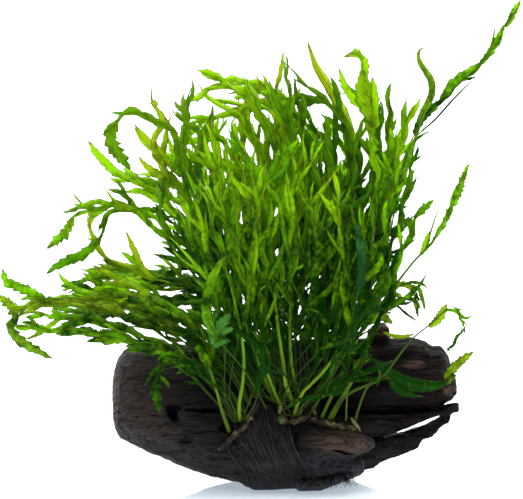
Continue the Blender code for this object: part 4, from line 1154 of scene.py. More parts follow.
WING = 0.66
WING_SWELL = 0.25
MIDRIB_ROW = 2.5
LOBE = 0.68
LOBE_LENGTHS = (0.65, 1.25)
LOBE_BREADTHS = (0.7, 1.2)
LOBE_TONES = (-0.42, 0.38)
LOBE_OPENINGS = (26.0, 50.0)
LOBE_TIP_LEANS = (-12.0, 34.0)
LOBE_LIFTS = (-22.0, 22.0)
LOBE_CURLS = (-45.0, 45.0)
LOBE_TWISTS = (-30.0, 30.0)
LOBE_DROOPS = (0.0, 0.3)
LOBE_FOLD = 0.18
LOBE_WAVE = 0.10
EDGE_ON_SHARE = 0.2
EDGE_ON_TWISTS = (-85.0, 85.0)
THREAD_LONGER = 1.2
FORK_SHARE = 0.45
FORK_ROWS = (3, 4, 5)
FORK_LENGTHS = (0.4, 0.6)
FORK_OPENINGS = (20.0, 42.0)
FORK_TIP_LEANS = (0.0, 30.0)
FORK_CURLS = (-30.0, 30.0)
FORK_NARROWER = 0.75


def midrib_widths(rows, count, broad):
    """Half widths of a midrib with its wings, which swell toward each lobe and end in a point."""
    widths = []
    for row in range(rows + 1):
        share = row / rows
        swell = min(1.0, 0.15 + 1.7 * share) * (1.0 - max(0.0, (share - 0.72) / 0.28) ** 1.8)
        bulge = 1.0 + WING_SWELL * math.sin(share * count * math.pi)
        widths.append(max(0.14, WING * broad * swell * bulge))
    return widths


def lobed_blade(bm, seed, curve, leafy_from, turn, tone, length, reach, broad, spacing):
    """A midrib with its wings, and the lobes that leave it by turns to the two sides."""
    leafy = (1.0 - leafy_from) * length
    rows = max(12, round(leafy / MIDRIB_ROW))
    count = max(5, round(leafy / spacing))
    frames = turned_frames(seed, curve, rows, leafy_from, turn, 0.7, count)
    widths = midrib_widths(rows, count, broad)
    lay_blade(
        bm, seed, frames_within_depth(frames), widths, tone, dryness=0.9, fold=0.12, wave=0.08, toothed=0.9)
    for number in range(count):
        share = (number + 0.5 + seed.uniform(-0.25, 0.25)) / count
        index = share * 0.95 * rows
        low = min(int(index), rows - 1)
        place, side, face, heading = frames[low]
        place = place.lerp(frames[low + 1][0], index - low)
        fullness = 0.55 + 0.45 * math.sin(math.pi * min(1.0, share * 0.85 + 0.15)) ** 0.6
        fullness *= min(1.0, 0.55 + 1.3 * share)
        thread = seed.random() < THREAD_SHARE
        edge_on = seed.random() < EDGE_ON_SHARE
        lobe_reach = reach * fullness * seed.uniform(*LOBE_LENGTHS) * (THREAD_LONGER if thread else 1.0)
        sign = 1 if number % 2 else -1
        half_width = LOBE * broad * seed.uniform(*LOBE_BREADTHS) * min(1.0, 0.6 + 1.1 * share)
        lobe_tone = tone + seed.uniform(*LOBE_TONES)
        midline = lobe_frames(
            (place, side, face, heading), lobe_reach, seed.uniform(*LOBE_OPENINGS),
            seed.uniform(*LOBE_TIP_LEANS), sign, seed.uniform(*LOBE_LIFTS), seed.uniform(*LOBE_CURLS),
            seed.choice(EDGE_ON_TWISTS) if edge_on else seed.uniform(*LOBE_TWISTS),
            seed.uniform(*LOBE_DROOPS))
        lay_blade(
            bm, seed, frames_within_depth(midline), lobe_widths(half_width, thread), lobe_tone,
            dryness=seed.uniform(0.2, 1.0), fold=LOBE_FOLD, wave=LOBE_WAVE, toothed=seed.uniform(0.4, 1.4))
        if thread or seed.random() > FORK_SHARE:
            continue
        fork = lobe_frames(
            midline[seed.choice(FORK_ROWS)], lobe_reach * seed.uniform(*FORK_LENGTHS),
            seed.uniform(*FORK_OPENINGS), seed.uniform(*FORK_TIP_LEANS), seed.choice((sign, -sign)), 0.0,
            seed.uniform(*FORK_CURLS), 0.0, seed.uniform(*LOBE_DROOPS))
        lay_blade(
            bm, seed, frames_within_depth(fork), lobe_widths(half_width * FORK_NARROWER, False), lobe_tone,
            dryness=0.6, fold=LOBE_FOLD, wave=LOBE_WAVE, toothed=0.9)


SISTER_SWAY = 9.5 * MM
SISTER_SWAY_SHARE = 0.6
SISTER_STEPS = 6
LEAVING_POWER = 0.8


def sister_route(seed, route, aside, share):
    """The route of another leaf from the same foot, which ends aside and sways on its own."""
    sway = Vector((seed.uniform(-1.0, 1.0), seed.uniform(-1.0, 1.0), 0.0))
    sway *= min(SISTER_SWAY, SISTER_SWAY_SHARE * aside.length)
    moved = []
    for index, place in enumerate(even_places(smooth_route(route), SISTER_STEPS, 0.0, share)):
        reached = index / SISTER_STEPS
        leaves_by = 0.07 + 0.93 * reached ** LEAVING_POWER
        moved.append(within_depth(place + aside * leaves_by + sway * math.sin(math.tau * reached)))
    return moved


def sisters_of(seed, route, count, spread, asides, young):
    """Routes of the other leaves of a tuft: some placed, some by chance, and short young ones."""
    routes = [
        sister_route(seed, route, Vector((across, depth, up)) * MM, share)
        for across, up, depth, share in asides]
    for number in range(count + young):
        angle = seed.uniform(0.0, math.tau)
        aside = Vector((math.cos(angle), math.sin(angle), 0.25 * math.sin(2.0 * angle))) * spread * MM
        share = seed.uniform(0.72, 0.97) if number < count else seed.uniform(0.38, 0.62)
        routes.append(sister_route(seed, route, aside, share))
    return routes


LEAF_THICKNESS = 0.22 * MM
RIBBON_FOLD = 0.2
RIBBON_WAVE = 0.1
LOBE_LONGER = 1.45
YOUNG_DARKER = 0.25
YOUNG_SHORTER = 0.75
YOUNG_NARROWER = 0.85
SISTER_STALK = 0.42
SISTER_BRIGHT = -0.15
STALK_STEP = 6.0
STALK_TAPER = 0.78


def frond(name, look, route, bare, reach, broad, turn=0.0, simple=0.0, tone=0.5, blades=(),
          sisters=1, young=0, spread=14.0, spacing=11.0, asides=(), stem=0.6, bright=0.15, second=None):
    """A tuft of leaves from one foot.

    bare is a stalk's share of its length; reach and broad set the length and breadth of the lobes;
    turn is the main leaf's turn about its stalk, in degrees; simple is the breadth of a plain leaf,
    which stands alone. sisters and young count leaves placed by chance, within spread; asides place
    others: across, up and toward the back of the main leaf's end, and their share of its length.
    spacing is the distance between lobes, tone how yellow the leaves are, stem the main stalk's radius
    and bright its tone. blades are single ribbons: places, half width, teeth, and their own look and
    tone, where look 2 is the second one.
    """
    seed = random.Random(name)
    turn = math.radians(turn)
    bm = bmesh.new()
    bm.loops.layers.uv.new("leaf")
    bm.loops.layers.uv.new("tone")
    stalks = []
    routes = [route]
    if not simple:
        routes += sisters_of(seed, route, sisters, spread, asides, young)
    for number, own_route in enumerate(routes):
        curve = smooth_route(own_route)
        length = length_of(curve)
        stalks.append((curve, length))
        if simple:
            simple_blade(bm, seed, curve, bare, turn, simple, tone)
            continue
        leafy_from = bare * (0.85 if number else 0.95)
        own_turn = turn + (seed.uniform(-0.7, 0.7) if number else 0.0)
        darker, shorter, narrower = 0.0, 1.0, 1.0
        if number > len(routes) - 1 - young:
            darker, shorter, narrower = YOUNG_DARKER, YOUNG_SHORTER, YOUNG_NARROWER
        lobed_blade(
            bm, seed, curve, leafy_from, own_turn, tone - darker, length,
            LOBE_LONGER * reach * shorter, broad * narrower, spacing)
    for places, half_width, teeth, *other in blades:
        midline = smooth_route([spot(*place) for place in places])
        frames = carried_frames(even_places(midline, BLADE_ROWS), turn + seed.uniform(-0.4, 0.4))
        own_look, own_tone = other or (0, tone)
        lay_blade(
            bm, seed, frames, ribbon_widths(half_width, 0.14, 0.12, 0.7),
            own_tone + seed.uniform(-0.15, 0.2), 0.9, RIBBON_FOLD, RIBBON_WAVE, teeth, own_look)
    bmesh.ops.solidify(bm, geom=bm.faces[:], thickness=LEAF_THICKNESS)
    for number, (curve, length) in enumerate(stalks):
        steps = max(10, round(length / STALK_STEP))
        thick = SISTER_STALK if number else stem
        radii = [thick * (1.0 - STALK_TAPER * (step / steps) ** 0.7) for step in range(steps + 1)]
        add_tube(
            bm, even_places(curve, steps), radii, TUBE_SIDES, 1, bare, tone,
            SISTER_BRIGHT if number else bright)
    bmesh.ops.recalc_face_normals(bm, faces=bm.faces)
    return show(name + "_leaf", bm, [look, STALK, second or look], SLOT_OF[look], name)


# A foot on the front is across, up and its lift off the wood; one at the rear is across and depth.
REAR_FOOT_LIFT = 3.0


def front_route(foot, *places):
    """A route from a foot on the front of the wood through places of the front view."""
    return [touch_wood(*foot), *[spot(*place) for place in places]]


def slab_route(foot, *places):
    """A route from a foot on the rhizome that lies on the front slab."""
    return [spot(*foot, RIGHT_RHIZOME_DEPTH), *[spot(*place) for place in places]]


def rear_route(foot, *places):
    """A route from a foot on top of the rear rhizome through places of the front view."""
    return [on_top(*foot, REAR_FOOT_LIFT), *[spot(*place) for place in places]]


# Fronds of the left: a fan of leaves that droops over the wood's left end, and long arches and
# pointed ribbons that rise behind it. Their feet stand along the left and the rear rhizome.

frond("frond_left_low_drooping", YELLOW, front_route(
    (-9.0, -80.5, 1.8), (-24, -58, -42), (-48, -40, -34), (-80, -29, -26), (-108, -26.5, -22),
    (-119, -30, -20), (-124, -36, -20)), 0.34, 13, 2.5, tone=0.6, sisters=2, young=2, spread=8.0,
    spacing=10.0, blades=(
        (((-121, -32, -20), (-125, -39, -20), (-120, -46, -20), (-112, -50.5, -20), (-104, -54.5, -20)),
         2.4, 1.3),
        (((-118, -31, -20), (-123, -29, -20), (-127, -26, -20), (-131, -22.5, -20)), 2.0, 1.2),
        (((-96, -31, -22), (-104, -37, -21), (-111, -42, -20), (-118, -45, -20)), 1.2, 1.0)))
frond("frond_left_low_upper", GREEN, front_route(
    (-6.0, -77.0, 1.8), (-20, -52, -30), (-45, -32, -20), (-70, -22, -10), (-92, -24, -4),
    (-106, -25, 0), (-114, -23, 0)), 0.30, 15, 2.7, 20, tone=0.8, sisters=2, young=3, spread=11.0,
    spacing=10.0, blades=(
        (((-108, -25, 0), (-116, -21, 0), (-123, -18, 2), (-128, -15.5, 2), (-129.5, -9.5, 2)), 2.2, 1.3),
        (((-76, -25, -8), (-85, -22, -6), (-92, -20, -4), (-98, -16, -3), (-102, -11, -2)), 1.5, 0.7)))
frond("frond_left_low_front", GREEN, front_route(
    (-13.0, -85.5, 1.8), (-26, -66, -50), (-46, -52, -46), (-70, -44, -42), (-90, -40.5, -42),
    (-108, -39.5, -42), (-122, -38, -42)), 0.30, 12, 2.1, -15, tone=0.7, sisters=1, young=4, spread=9.0,
    asides=((2, 6, 6, 0.98), (4, -3, 10, 0.85), (24, 2, 8, 0.7)), stem=0.5, bright=0.0)
frond("frond_left_low_inner", DEEP, front_route(
    (-3.4, -73.5, 1.8), (-15, -50, -16), (-38, -32, 6), (-65, -27, 18), (-88, -31, 24),
    (-106, -31, 28)), 0.24, 17, 2.1, 10, tone=0.85, sisters=2, young=3,
    asides=((34, 16, -14, 0.75), (26, 4, -20, 0.7)))
frond("frond_left_middle_rear", GREEN, rear_route(
    (-12.0, 5.0), (-20, -28, 14), (-36, -18, 26), (-56, -13, 36), (-76, -13, 44),
    (-92, -16, 50)), 0.25, 17, 2.1, tone=0.65, sisters=3, young=3,
    asides=((30, 6, -20, 0.8), (34, 20, -20, 0.8)))
frond("frond_left_upright", YELLOW, rear_route(
    (-9.0, 6.5), (-20, -22, 10), (-42, -18, 14), (-62, -12, 16), (-76, -5, 16),
    (-84, 3, 16), (-86, 12, 16), (-87, 19, 16)), 0.45, 12, 1.8, 15, tone=0.8, sisters=1, young=2, blades=(
        (((-54, -15, 16), (-60, -9, 16), (-64, 0, 16), (-68, 9, 16)), 1.6, 0.8),
        (((-60, -14, 10), (-70, -17, 10), (-78, -18, 10), (-87, -15, 10)), 2.2, 1.0)))
frond("frond_left_long_drooping", GREEN, front_route(
    (-0.8, -70.5, 1.8), (-11, -44, -29), (-28, -10, -28), (-42, 5, -30), (-54, 16, -30),
    (-66, 22, -33), (-79, 20.5, -36), (-88, 19, -36), (-93, 15, -36), (-97, 8.5, -36)),
    0.5, 13, 1.9, 12, sisters=1, young=1, spread=9.0, blades=(
        (((-93, 16, -36), (-97, 9, -36), (-101, 5, -36), (-106, 0.5, -36)), 2.2, 1.4),
        (((-79, 20.5, -36), (-86, 21, -36), (-90, 24, -36), (-94, 29, -36)), 0.6, 0.6)))
frond("frond_left_hanging", DEEP, rear_route(
    (-6.0, 7.5), (-14, -26, -6), (-30, 2, -8), (-50, 17, -12), (-66, 20, -14), (-75, 18, -16),
    (-79, 9, -17), (-84, 1, -18)), 0.5, 10, 1.6, -10, tone=0.7, blades=(
        (((-81, 5, -17.5), (-87, -1.5, -18), (-94, -5, -19), (-101, -8, -20), (-107, -12, -20)),
         2.3, 1.0),))
frond("frond_left_upper_pointed", GREEN, rear_route(
    (-3.0, 8.5), (-14, -24, 18), (-26, 4, 26), (-40, 22, 30), (-47, 28, 32), (-56, 33.5, 34),
    (-66, 35, 35), (-74, 39, 36)), 0.42, 14, 1.9, tone=0.6, sisters=2, young=1, spread=10.0, blades=(
        (((-66, 35.5, 35), (-74, 39, 36), (-78, 43, 36), (-83, 48, 36), (-87.5, 55, 37)), 2.1, 0.8),
        (((-43, 32, 33), (-49, 36, 34), (-56, 40, 34), (-61, 45, 34)), 1.9, 0.8),
        (((-40, 41, 32), (-48, 47, 32), (-54, 51, 32), (-59.5, 55, 32), (-64, 61.5, 32)), 2.0, 0.7),
        (((-40, 14, 30), (-47, 22, 31), (-54, 26.5, 32), (-61, 29.5, 32), (-70, 29, 33)), 2.0, 0.8),
        (((-28, 18, 30), (-34, 32, 30), (-42, 44, 30), (-48, 58, 30)), 2.0, 0.8)))
frond("frond_left_arch", DEEP, front_route(
    (1.8, -67.5, 1.8), (-10, -40, -30), (-26, 0, -36), (-36, 25, -38), (-40, 42, -40),
    (-43, 56, -42), (-49, 61, -43), (-56, 65, -44), (-64, 67.5, -46), (-71, 63, -47),
    (-75, 55, -47)), 0.52, 10, 1.9, 10, tone=0.6, blades=(
        (((-71, 62, -47), (-74, 55, -47.5), (-72, 49, -48), (-68.5, 44.5, -48), (-64.5, 39, -48)),
         2.5, 1.5),))
frond("frond_left_yellow_upright", YELLOW, rear_route(
    (0.0, 9.5), (-10, -20, -4), (-24, 4, -10), (-36, 22, -14), (-47, 38, -16), (-53, 47, -18),
    (-52, 56, -18), (-50, 63, -18), (-53, 72, -18), (-54.5, 80, -18)), 0.45, 5, 2.3, sisters=0,
    young=1, spread=9.0, asides=((9, -6, 6, 0.95), (18, -4, 12, 0.97)), tone=0.4, blades=(
        (((-40, 36, -16), (-47, 44, -16), (-53, 50.5, -17), (-59, 57, -17), (-63, 62, -18)), 1.8, 0.6),
        (((-43, 30, -14), (-51, 36.5, -15), (-57, 41, -16), (-61, 46, -16)), 1.8, 0.6),
        (((-32, 26, -10), (-38, 40, -10), (-41, 52, -10), (-48, 66, -10)), 2.0, 0.8),
        (((-33, 36, -8), (-31, 50, -8), (-26, 60, -8), (-24, 72, -8)), 1.9, 0.8)))
frond("frond_left_dark_upright", DEEP, front_route(
    (5.0, -69.5, 1.8), (-6, -46, -24), (-24, -10, -26), (-34, 15, -26), (-38.5, 45, -26),
    (-38, 64, -26), (-34, 81, -26)), 0.45, 13, 2.0, -20, sisters=1, young=1, spread=7.0,
    asides=((10, -14, 10, 1.0), (-4, -22, 6, 0.9)))

# Fronds of the top: tall leaves that arch over and fan out to make the crown, some before and some
# behind the others. Most feet stand on the rear rhizome, two on the front of the wood.

frond("frond_top_left_arch", GREEN, rear_route(
    (6.0, 8.5), (5, -20, 8), (6, 15, 2), (4, 45, -2), (0, 66, -4), (-8, 77, -6), (-18, 81.5, -8),
    (-27, 79, -10), (-32, 73, -11)), 0.4, 18, 2.1, tone=0.65, sisters=1, young=1,
    asides=((-8, -14, 10, 1.0), (-4, -28, 16, 1.0), (-14, -36, 6, 0.97), (2, -8, 20, 0.95)))
frond("frond_top_rear_arch", GREEN, rear_route(
    (10.0, 8.0), (12, -20, 20), (17, 20, 34), (16, 56, 40), (9, 76, 42), (0, 83, 42),
    (-10, 84.5, 42), (-20, 83, 42), (-28.5, 81.5, 42)), 0.4, 12, 1.8, 10, sisters=3, young=2,
    asides=((6, -12, 0, 0.97),))
frond("frond_top_yellow", YELLOW, rear_route(
    (3.0, 9.0), (2, -20, 22), (5, 20, 32), (8, 60, 28), (7, 76, 26), (9.5, 85.5, 25)),
    0.4, 22, 2.0, -15, sisters=3, young=1)
frond("frond_top_dark", DEEP, front_route(
    (11.5, -71.5, 1.8), (10, -45, -30), (13, -10, -28), (15, 30, -24), (14, 60, -22),
    (13.5, 84.5, -22)), 0.4, 20, 2.0, sisters=2, young=2,
    asides=((16, -20, 10, 0.97), (10, -30, 20, 0.9)))
frond("frond_top_right_arch", DEEP, rear_route(
    (16.0, 6.5), (28, -20, 2), (40, 15, 0), (46, 46, -2), (40, 66, -4), (28, 77, -6),
    (20, 83.5, -8), (15, 85, -9)), 0.28, 20, 2.1, 15, young=4,
    asides=((-12, -12, 6, 0.95), (6, -14, 20, 0.9)))
frond("frond_top_tall_simple", YELLOW, rear_route(
    (19.0, 6.5), (30, -20, 14), (42, 10, 18), (48, 40, 18), (44, 62, 16), (36, 78, 14),
    (28, 91, 12), (23, 104, 10)), 0.64, 0, 0, 25, 0.85)
frond("frond_top_broad", GREEN, front_route(
    (26.0, -80.5, 2.4), (40, -48, -30), (52, -10, -34), (57, 30, -36), (53, 60, -38),
    (51, 80, -38), (51, 92, -38), (46, 96, -38), (40.5, 94.5, -38)), 0.55, 8, 2.4, sisters=0, blades=(
        (((57, 62, -38), (53.5, 70, -38), (50, 80, -38), (50.5, 90, -38), (48, 95.5, -38),
          (40.5, 94.5, -38)), 1.9, 0.9),
        (((57, 60, -38.6), (53.5, 68, -38.6), (50, 78, -38.6), (50, 88, -38.6)), 3.9, 0.7),
        (((54, 66, -38.3), (47, 72, -38.3), (41.5, 79, -38.3), (38, 89, -38.3)), 1.9, 1.0),
        (((56, 64, -38.3), (55.8, 74, -38.3), (54.4, 85, -38.3)), 1.7, 0.8)))
frond("frond_top_brown_tipped", DEEP, rear_route(
    (30.0, 8.5), (46, -22, 16), (58, 10, 20), (63, 45, 20), (64, 62, 20), (63.5, 76, 20)),
    0.28, 18, 2.0, -12, sisters=2, young=5, spread=10.0, asides=((-8, -14, -10, 0.9),))
frond("frond_top_rear_fan_left", GREEN, rear_route(
    (-14.0, 8.0), (-18, -22, 30), (-22, 10, 46), (-24, 40, 56), (-22, 62, 62)), 0.3, 20, 2.1, tone=0.7,
    sisters=2, young=2, spread=18.0, asides=((8, 6, 0, 1.0), (-8, 0, -6, 0.97)))
frond("frond_top_rear_fan_middle", DEEP, rear_route(
    (8.0, 11.5), (9, -24, 34), (10, 5, 52), (10, 35, 62), (6, 58, 70)), 0.22, 24, 2.1, 15, sisters=3,
    young=5, spread=20.0, asides=((14, -8, 0, 0.97),))
frond("frond_top_rear_fan_right", GREEN, rear_route(
    (26.0, 11.5), (34, -22, 30), (42, 10, 46), (44, 40, 56), (42, 64, 62)), 0.22, 24, 2.1, -15, sisters=3,
    young=5, spread=20.0, asides=((-14, -5, 6, 0.97),))

# Fronds of the right: the longest, the slender and the toothed leaf, and low wet ones that hang over
# the slab. Their feet stand along the rear and the right rhizome, one on the front of the wood.

frond("frond_right_pointed", GREEN, rear_route(
    (22.0, 6.5), (42, -22, 0), (58, 5, -8), (66, 36, -14), (70, 56, -16), (75.5, 71.5, -18)),
    0.35, 16, 2.0, sisters=2, young=2, spread=8.0, asides=((-6, -8, 10, 0.97),))
frond("frond_right_curled_simple", YELLOW, rear_route(
    (25.0, 7.0), (46, -24, 4), (66, 5, 4), (74, 40, 2), (79, 64, 0), (84.5, 76, 0), (84.5, 84, 0),
    (79, 93, 0), (78, 98, 0), (80.5, 100.5, 0)), 0.78, 0, 0, 20, 0.56, tone=-0.2)
frond("frond_right_longest", GREEN, rear_route(
    (34.0, 8.0), (52, -24, 24), (64, 5, 34), (70, 35, 38), (76, 56, 38), (84, 68, 38),
    (95, 79, 38), (108, 91, 38), (117, 101, 38), (123, 112, 38), (130.5, 125, 38)),
    0.62, 5, 0.9, sisters=0, spacing=9.0, tone=-0.2, stem=0.7, blades=(
        (((77, 58, 38), (81, 66, 38), (87, 72, 38), (93, 77, 38)), 1.9, 0.8, 0, -0.1),
        (((66, 18, 36), (70, 34, 38), (74, 46, 38), (79, 60, 38)), 1.7, 0.7, 0, -0.1),
        (((70, 36, 38), (74, 50, 38), (80, 57, 38), (86, 60, 38)), 0.9, 0.7, 0, -0.1),
        (((90, 74, 38), (95, 82, 38), (102, 88, 38), (112, 95, 38)), 2.1, 0.8, 0, -0.1),
        (((78, 57, 37), (88, 66, 37), (97, 76, 37), (109, 88, 37)), 0.5, 0.3, 0, -0.5),
        (((110, 93, 38), (115, 99, 38), (119, 106, 38), (122, 113, 38)), 1.6, 0.9, 0, -0.1),
        (((115, 99, 38), (116.5, 105, 38), (117.5, 112, 38)), 0.6, 0.5, 0, -0.1),
        (((123, 112, 38), (125.5, 116, 38), (127.5, 120.5, 38), (130.5, 125.5, 38)), 1.4, 1.0, 0, -0.05)))
frond("frond_right_slender", DEEP, slab_route(
    (30.0, -83.4), (45, -50, -38), (59, -14, -42), (67, 12, -42), (71, 28, -42),
    (73, 40, -42), (72, 50, -42)), 0.45, 13, 1.6, 10, sisters=0, stem=0.9, bright=0.5)
frond("frond_right_rear", DEEP, rear_route(
    (38.0, 14.0), (52, -30, 30), (64, -14, 44), (73, 2, 52), (78, 14, 56), (81, 22, 58)),
    0.3, 11, 1.8, sisters=0, young=1, spread=5.0, tone=1.0)
frond("frond_right_toothed", GREEN, slab_route(
    (34.0, -83.8), (48, -58, -48), (61, -26, -52), (73, -8, -54), (84, 4, -55),
    (91, 17, -56), (96, 30, -56), (101, 40, -56)), 0.72, 3, 1.2, sisters=0, stem=1.3, bright=0.3,
    tone=0.5, blades=(
        (((84, 4, -55), (89, 12, -55), (92, 19, -56), (95, 26, -56)), 1.1, 1.4, 0, 0.35),
        (((94, 21, -56), (96.5, 28, -56), (98.5, 34, -56), (100, 38, -56)), 1.5, 1.9, 0, 0.4),
        (((97, 32, -56), (99, 36, -56), (100.5, 40, -56), (102, 42, -56)), 0.9, 1.9, 0, 0.4),
        (((80, -1, -55), (82, 4, -55), (83.5, 10, -55), (86.5, 19, -56), (89, 21.5, -56)),
         0.42, 0.2, 0, 0.3),
        (((78, -3, -55), (79.5, 0, -55), (81, 4, -55), (82.5, 9, -55)), 1.4, 1.2, 0, 1.0)))
frond("frond_right_weeping", YELLOW, rear_route(
    (33.0, 5.5), (48, -34, 6), (60, -27, 10), (68, -17.5, 14), (75, -17, 16), (78, -25, 17),
    (79, -33, 17)), 0.8, 3, 0.8, sisters=0, bright=0.4, blades=(
        (((50, -38, -8), (55, -35, -9), (59.5, -33, -10), (65.5, -37, -10)), 2.4, 0.7, 0, 1.2),
        (((61, -41.5, 2), (66, -43.3, 0), (71, -43.6, -3), (77, -42.2, -4)), 1.0, 0.7, 0, 1.2),
        (((66, -21, 14), (70, -17.5, 15), (75, -19, 16), (77, -24, 16)), 1.4, 0.9, 0, 1.1),
        (((75, -18, 15), (79, -20, 16), (81, -25, 16), (82.5, -31, 17)), 1.0, 0.9, 0, 0.9),
        (((70, -18, 15), (76, -16.5, 16), (81, -17.5, 16), (84, -20, 16)), 0.8, 0.7, 0, 0.8),
        (((76, -24, 16), (78, -29, 17), (79, -34.5, 17)), 0.8, 0.9, 0, 0.9),
        (((62, -24, 12), (66, -22, 13), (70, -24, 14), (73, -28, 14)), 1.3, 0.9, 0, 1.0)))
frond("frond_right_low_rear", GREEN, rear_route(
    (39.5, 7.5), (50, -38, 18), (60, -32, 28), (70, -26, 40), (80, -24, 50)), 0.3, 10, 1.5,
    sisters=1, spread=7.0)
frond("frond_right_low_arc", DEEP, front_route(
    (24.0, -76.5, 2.0), (38, -50, -24), (54, -31, -28), (64, -27.5, -30), (71, -31, -31),
    (76, -35, -31)), 0.5, 12, 1.7, 15, sisters=0, blades=(
        (((19, -50, 0), (24, -38, 0), (26, -28, 2), (30, -14, 4)), 2.3, 1.0, 0, 0.45),
        (((26, -50, 2), (32, -38, 2), (33, -28, 4), (38, -16, 6)), 2.3, 1.0, 0, 0.3),
        (((34, -50, 4), (38, -38, 4), (43, -30, 6), (45, -18, 8)), 2.3, 1.0, 0, 0.45),
        (((31, -46, 6), (27, -36, 6), (24, -26, 8), (19, -16, 8)), 2.0, 1.0, 0, 0.3),
        (((43, -48, 6), (40, -36, 6), (36, -28, 8), (34, -16, 8)), 2.0, 1.0, 0, 0.4),
        (((45, -46, 8), (49, -36, 8), (50, -28, 10), (56, -20, 10)), 2.0, 1.0, 0, 0.3)))
frond("frond_right_low_trailing", GREEN, slab_route(
    (35.0, -84.0), (41, -73, -38), (48, -69, -38), (59, -64, -36), (67, -54, -33), (75, -44, -30),
    (85, -36, -30), (92, -29.5, -30), (98, -31, -30), (99.5, -40, -30), (92, -51, -30)), 0.74, 4, 0.8,
    sisters=0, spacing=6.0, stem=0.95, bright=0.1, tone=0.8, second=YELLOW, blades=(
        (((83, -38.5, -30), (86.5, -36, -30), (89.5, -32, -30), (92, -27, -30)), 2.1, 0.7, 2, 0.9),
        (((91, -30, -30), (96, -30.5, -30), (101, -34, -30), (104.5, -32.5, -30)), 0.9, 0.6, 0, 0.7)))
frond("frond_right_wet_leaf", GREEN, slab_route(
    (46.0, -86.6), (49, -76, -36), (53, -67, -38), (60, -62, -34), (72, -65, -28),
    (84, -67.5, -24), (91, -66, -22)), 0.5, 3, 1.2, tone=0.3, sisters=0, stem=0.8, bright=0.1,
    second=YELLOW, blades=(
        (((58, -56, -36), (64, -62, -33), (72, -66.5, -30), (82, -68, -27), (90, -67, -25),
          (94, -64, -24)), 3.4, 0.3, 0, 0.35),
        (((62, -58, -34), (66, -68, -32), (73, -72, -30), (80, -73, -28)), 1.8, 0.4, 0, 0.4),
        (((91, -64.5, -24), (95, -60, -22), (99.5, -55.5, -21), (105.5, -51, -20)), 2.0, 1.1, 2, 1.15),
        (((91, -67, -24), (94, -64, -23), (97, -62.5, -22)), 1.6, 1.0, 2, 1.0)))

# Fronds of the front: leaves on thick stalks before the wood, whose lobes fill the middle, and a few
# short curled or plain ones. Their feet stand along the left, middle and right rhizome.

frond("frond_front_right_upright", GREEN, front_route(
    (20.5, -79.5, 2.0), (33, -64, -50), (43, -50, -56), (52, -34, -60), (58, -12, -62),
    (61, 12, -62)), 0.4, 18, 2.0, sisters=2, young=2, spread=8.0,
    asides=((-12, 10, 8, 0.97),))
frond("frond_front_right_curled", GREEN, slab_route(
    (42.0, -85.2), (42, -76, -48), (43, -66, -54), (46, -58, -58), (51, -54, -60), (57, -56, -60),
    (58.5, -61, -60), (56, -66, -58)), 0.45, 5, 1.2, sisters=0, spacing=5.0, tone=0.85, bright=0.2)
frond("frond_front_arched", INNER, front_route(
    (16.0, -83.0, 2.0), (20, -71, -50), (28, -63, -54), (36, -52, -58), (44, -32, -62),
    (48, -5, -66), (50, 18, -68)), 0.4, 24, 2.1, -12, sisters=2, young=2, spread=16.0, stem=1.1,
    bright=0.9, asides=((-15, 10, 10, 0.97), (-9, -8, 22, 0.9)))
frond("frond_front_middle", GREEN, front_route(
    (15.0, -75.5, 2.0), (12, -66, -44), (10.5, -55, -46), (8, -38, -48), (5, -12, -50),
    (2, 15, -52), (0, 42, -54)), 0.5, 24, 2.1, sisters=3, young=1, stem=1.3, bright=0.85)
frond("frond_front_middle_right", INNER, front_route(
    (18.5, -73.0, 2.0), (15, -58, -40), (14, -38, -42), (15, -12, -42), (18, 18, -42),
    (22, 48, -42)), 0.45, 24, 2.1, 15, sisters=2, young=2, stem=1.1, bright=0.75,
    asides=((10, -8, 8, 0.97), (5, -20, 26, 0.95)))
frond("frond_front_left_tall", GREEN, front_route(
    (6.5, -75.5, 2.0), (1, -62, -46), (-5, -46, -50), (-12, -18, -52), (-17, 12, -54),
    (-21, 40, -56), (-26, 62, -56)), 0.36, 20, 2.1, -10, tone=0.6, sisters=2, young=2, spread=16.0,
    stem=1.0, bright=0.6, asides=((10, 4, 10, 0.97), (-10, -8, 16, 1.0)))
frond("frond_front_left_inner", INNER, front_route(
    (9.5, -77.5, 2.0), (4, -64, -50), (-2, -46, -54), (-5, -20, -60), (-6, 10, -64),
    (-9, 40, -66)), 0.36, 24, 2.1, 10, sisters=3, young=2, stem=0.95, bright=0.7)
frond("frond_front_thick_stalk", GREEN, front_route(
    (-10.8, -84.6, 1.8), (-11, -76, -48), (-9, -64, -52), (-9, -48, -58), (-14, -22, -66),
    (-22, 6, -69), (-28, 28, -70)), 0.4, 24, 2.1, sisters=3, young=2, spread=18.0, stem=1.15, bright=0.85)
frond("frond_front_left_fan", GREEN, front_route(
    (-16.0, -90.0, 1.8), (-20, -78, -48), (-23, -66, -56), (-26.5, -57, -60), (-31, -49, -62)),
    0.72, 6, 2.0, sisters=0, spacing=3.6, tone=0.8, stem=1.2, bright=0.45, second=TEAL, blades=(
        (((-24, -47, -68), (-22, -41, -71), (-19, -36, -73), (-15, -31, -74)), 2.4, 1.4, 2, 1.1),
        (((-24, -45, -68), (-25, -39, -70), (-24, -34, -71), (-21, -30, -72)), 1.8, 1.5, 2, 1.0),
        (((-22, -43, -69), (-18, -40, -71), (-13.5, -38.5, -72)), 1.6, 1.5, 2, 1.1),
        (((-24, -48, -68), (-20, -45.5, -70), (-15, -44.5, -71)), 1.4, 1.5, 2, 0.9)))
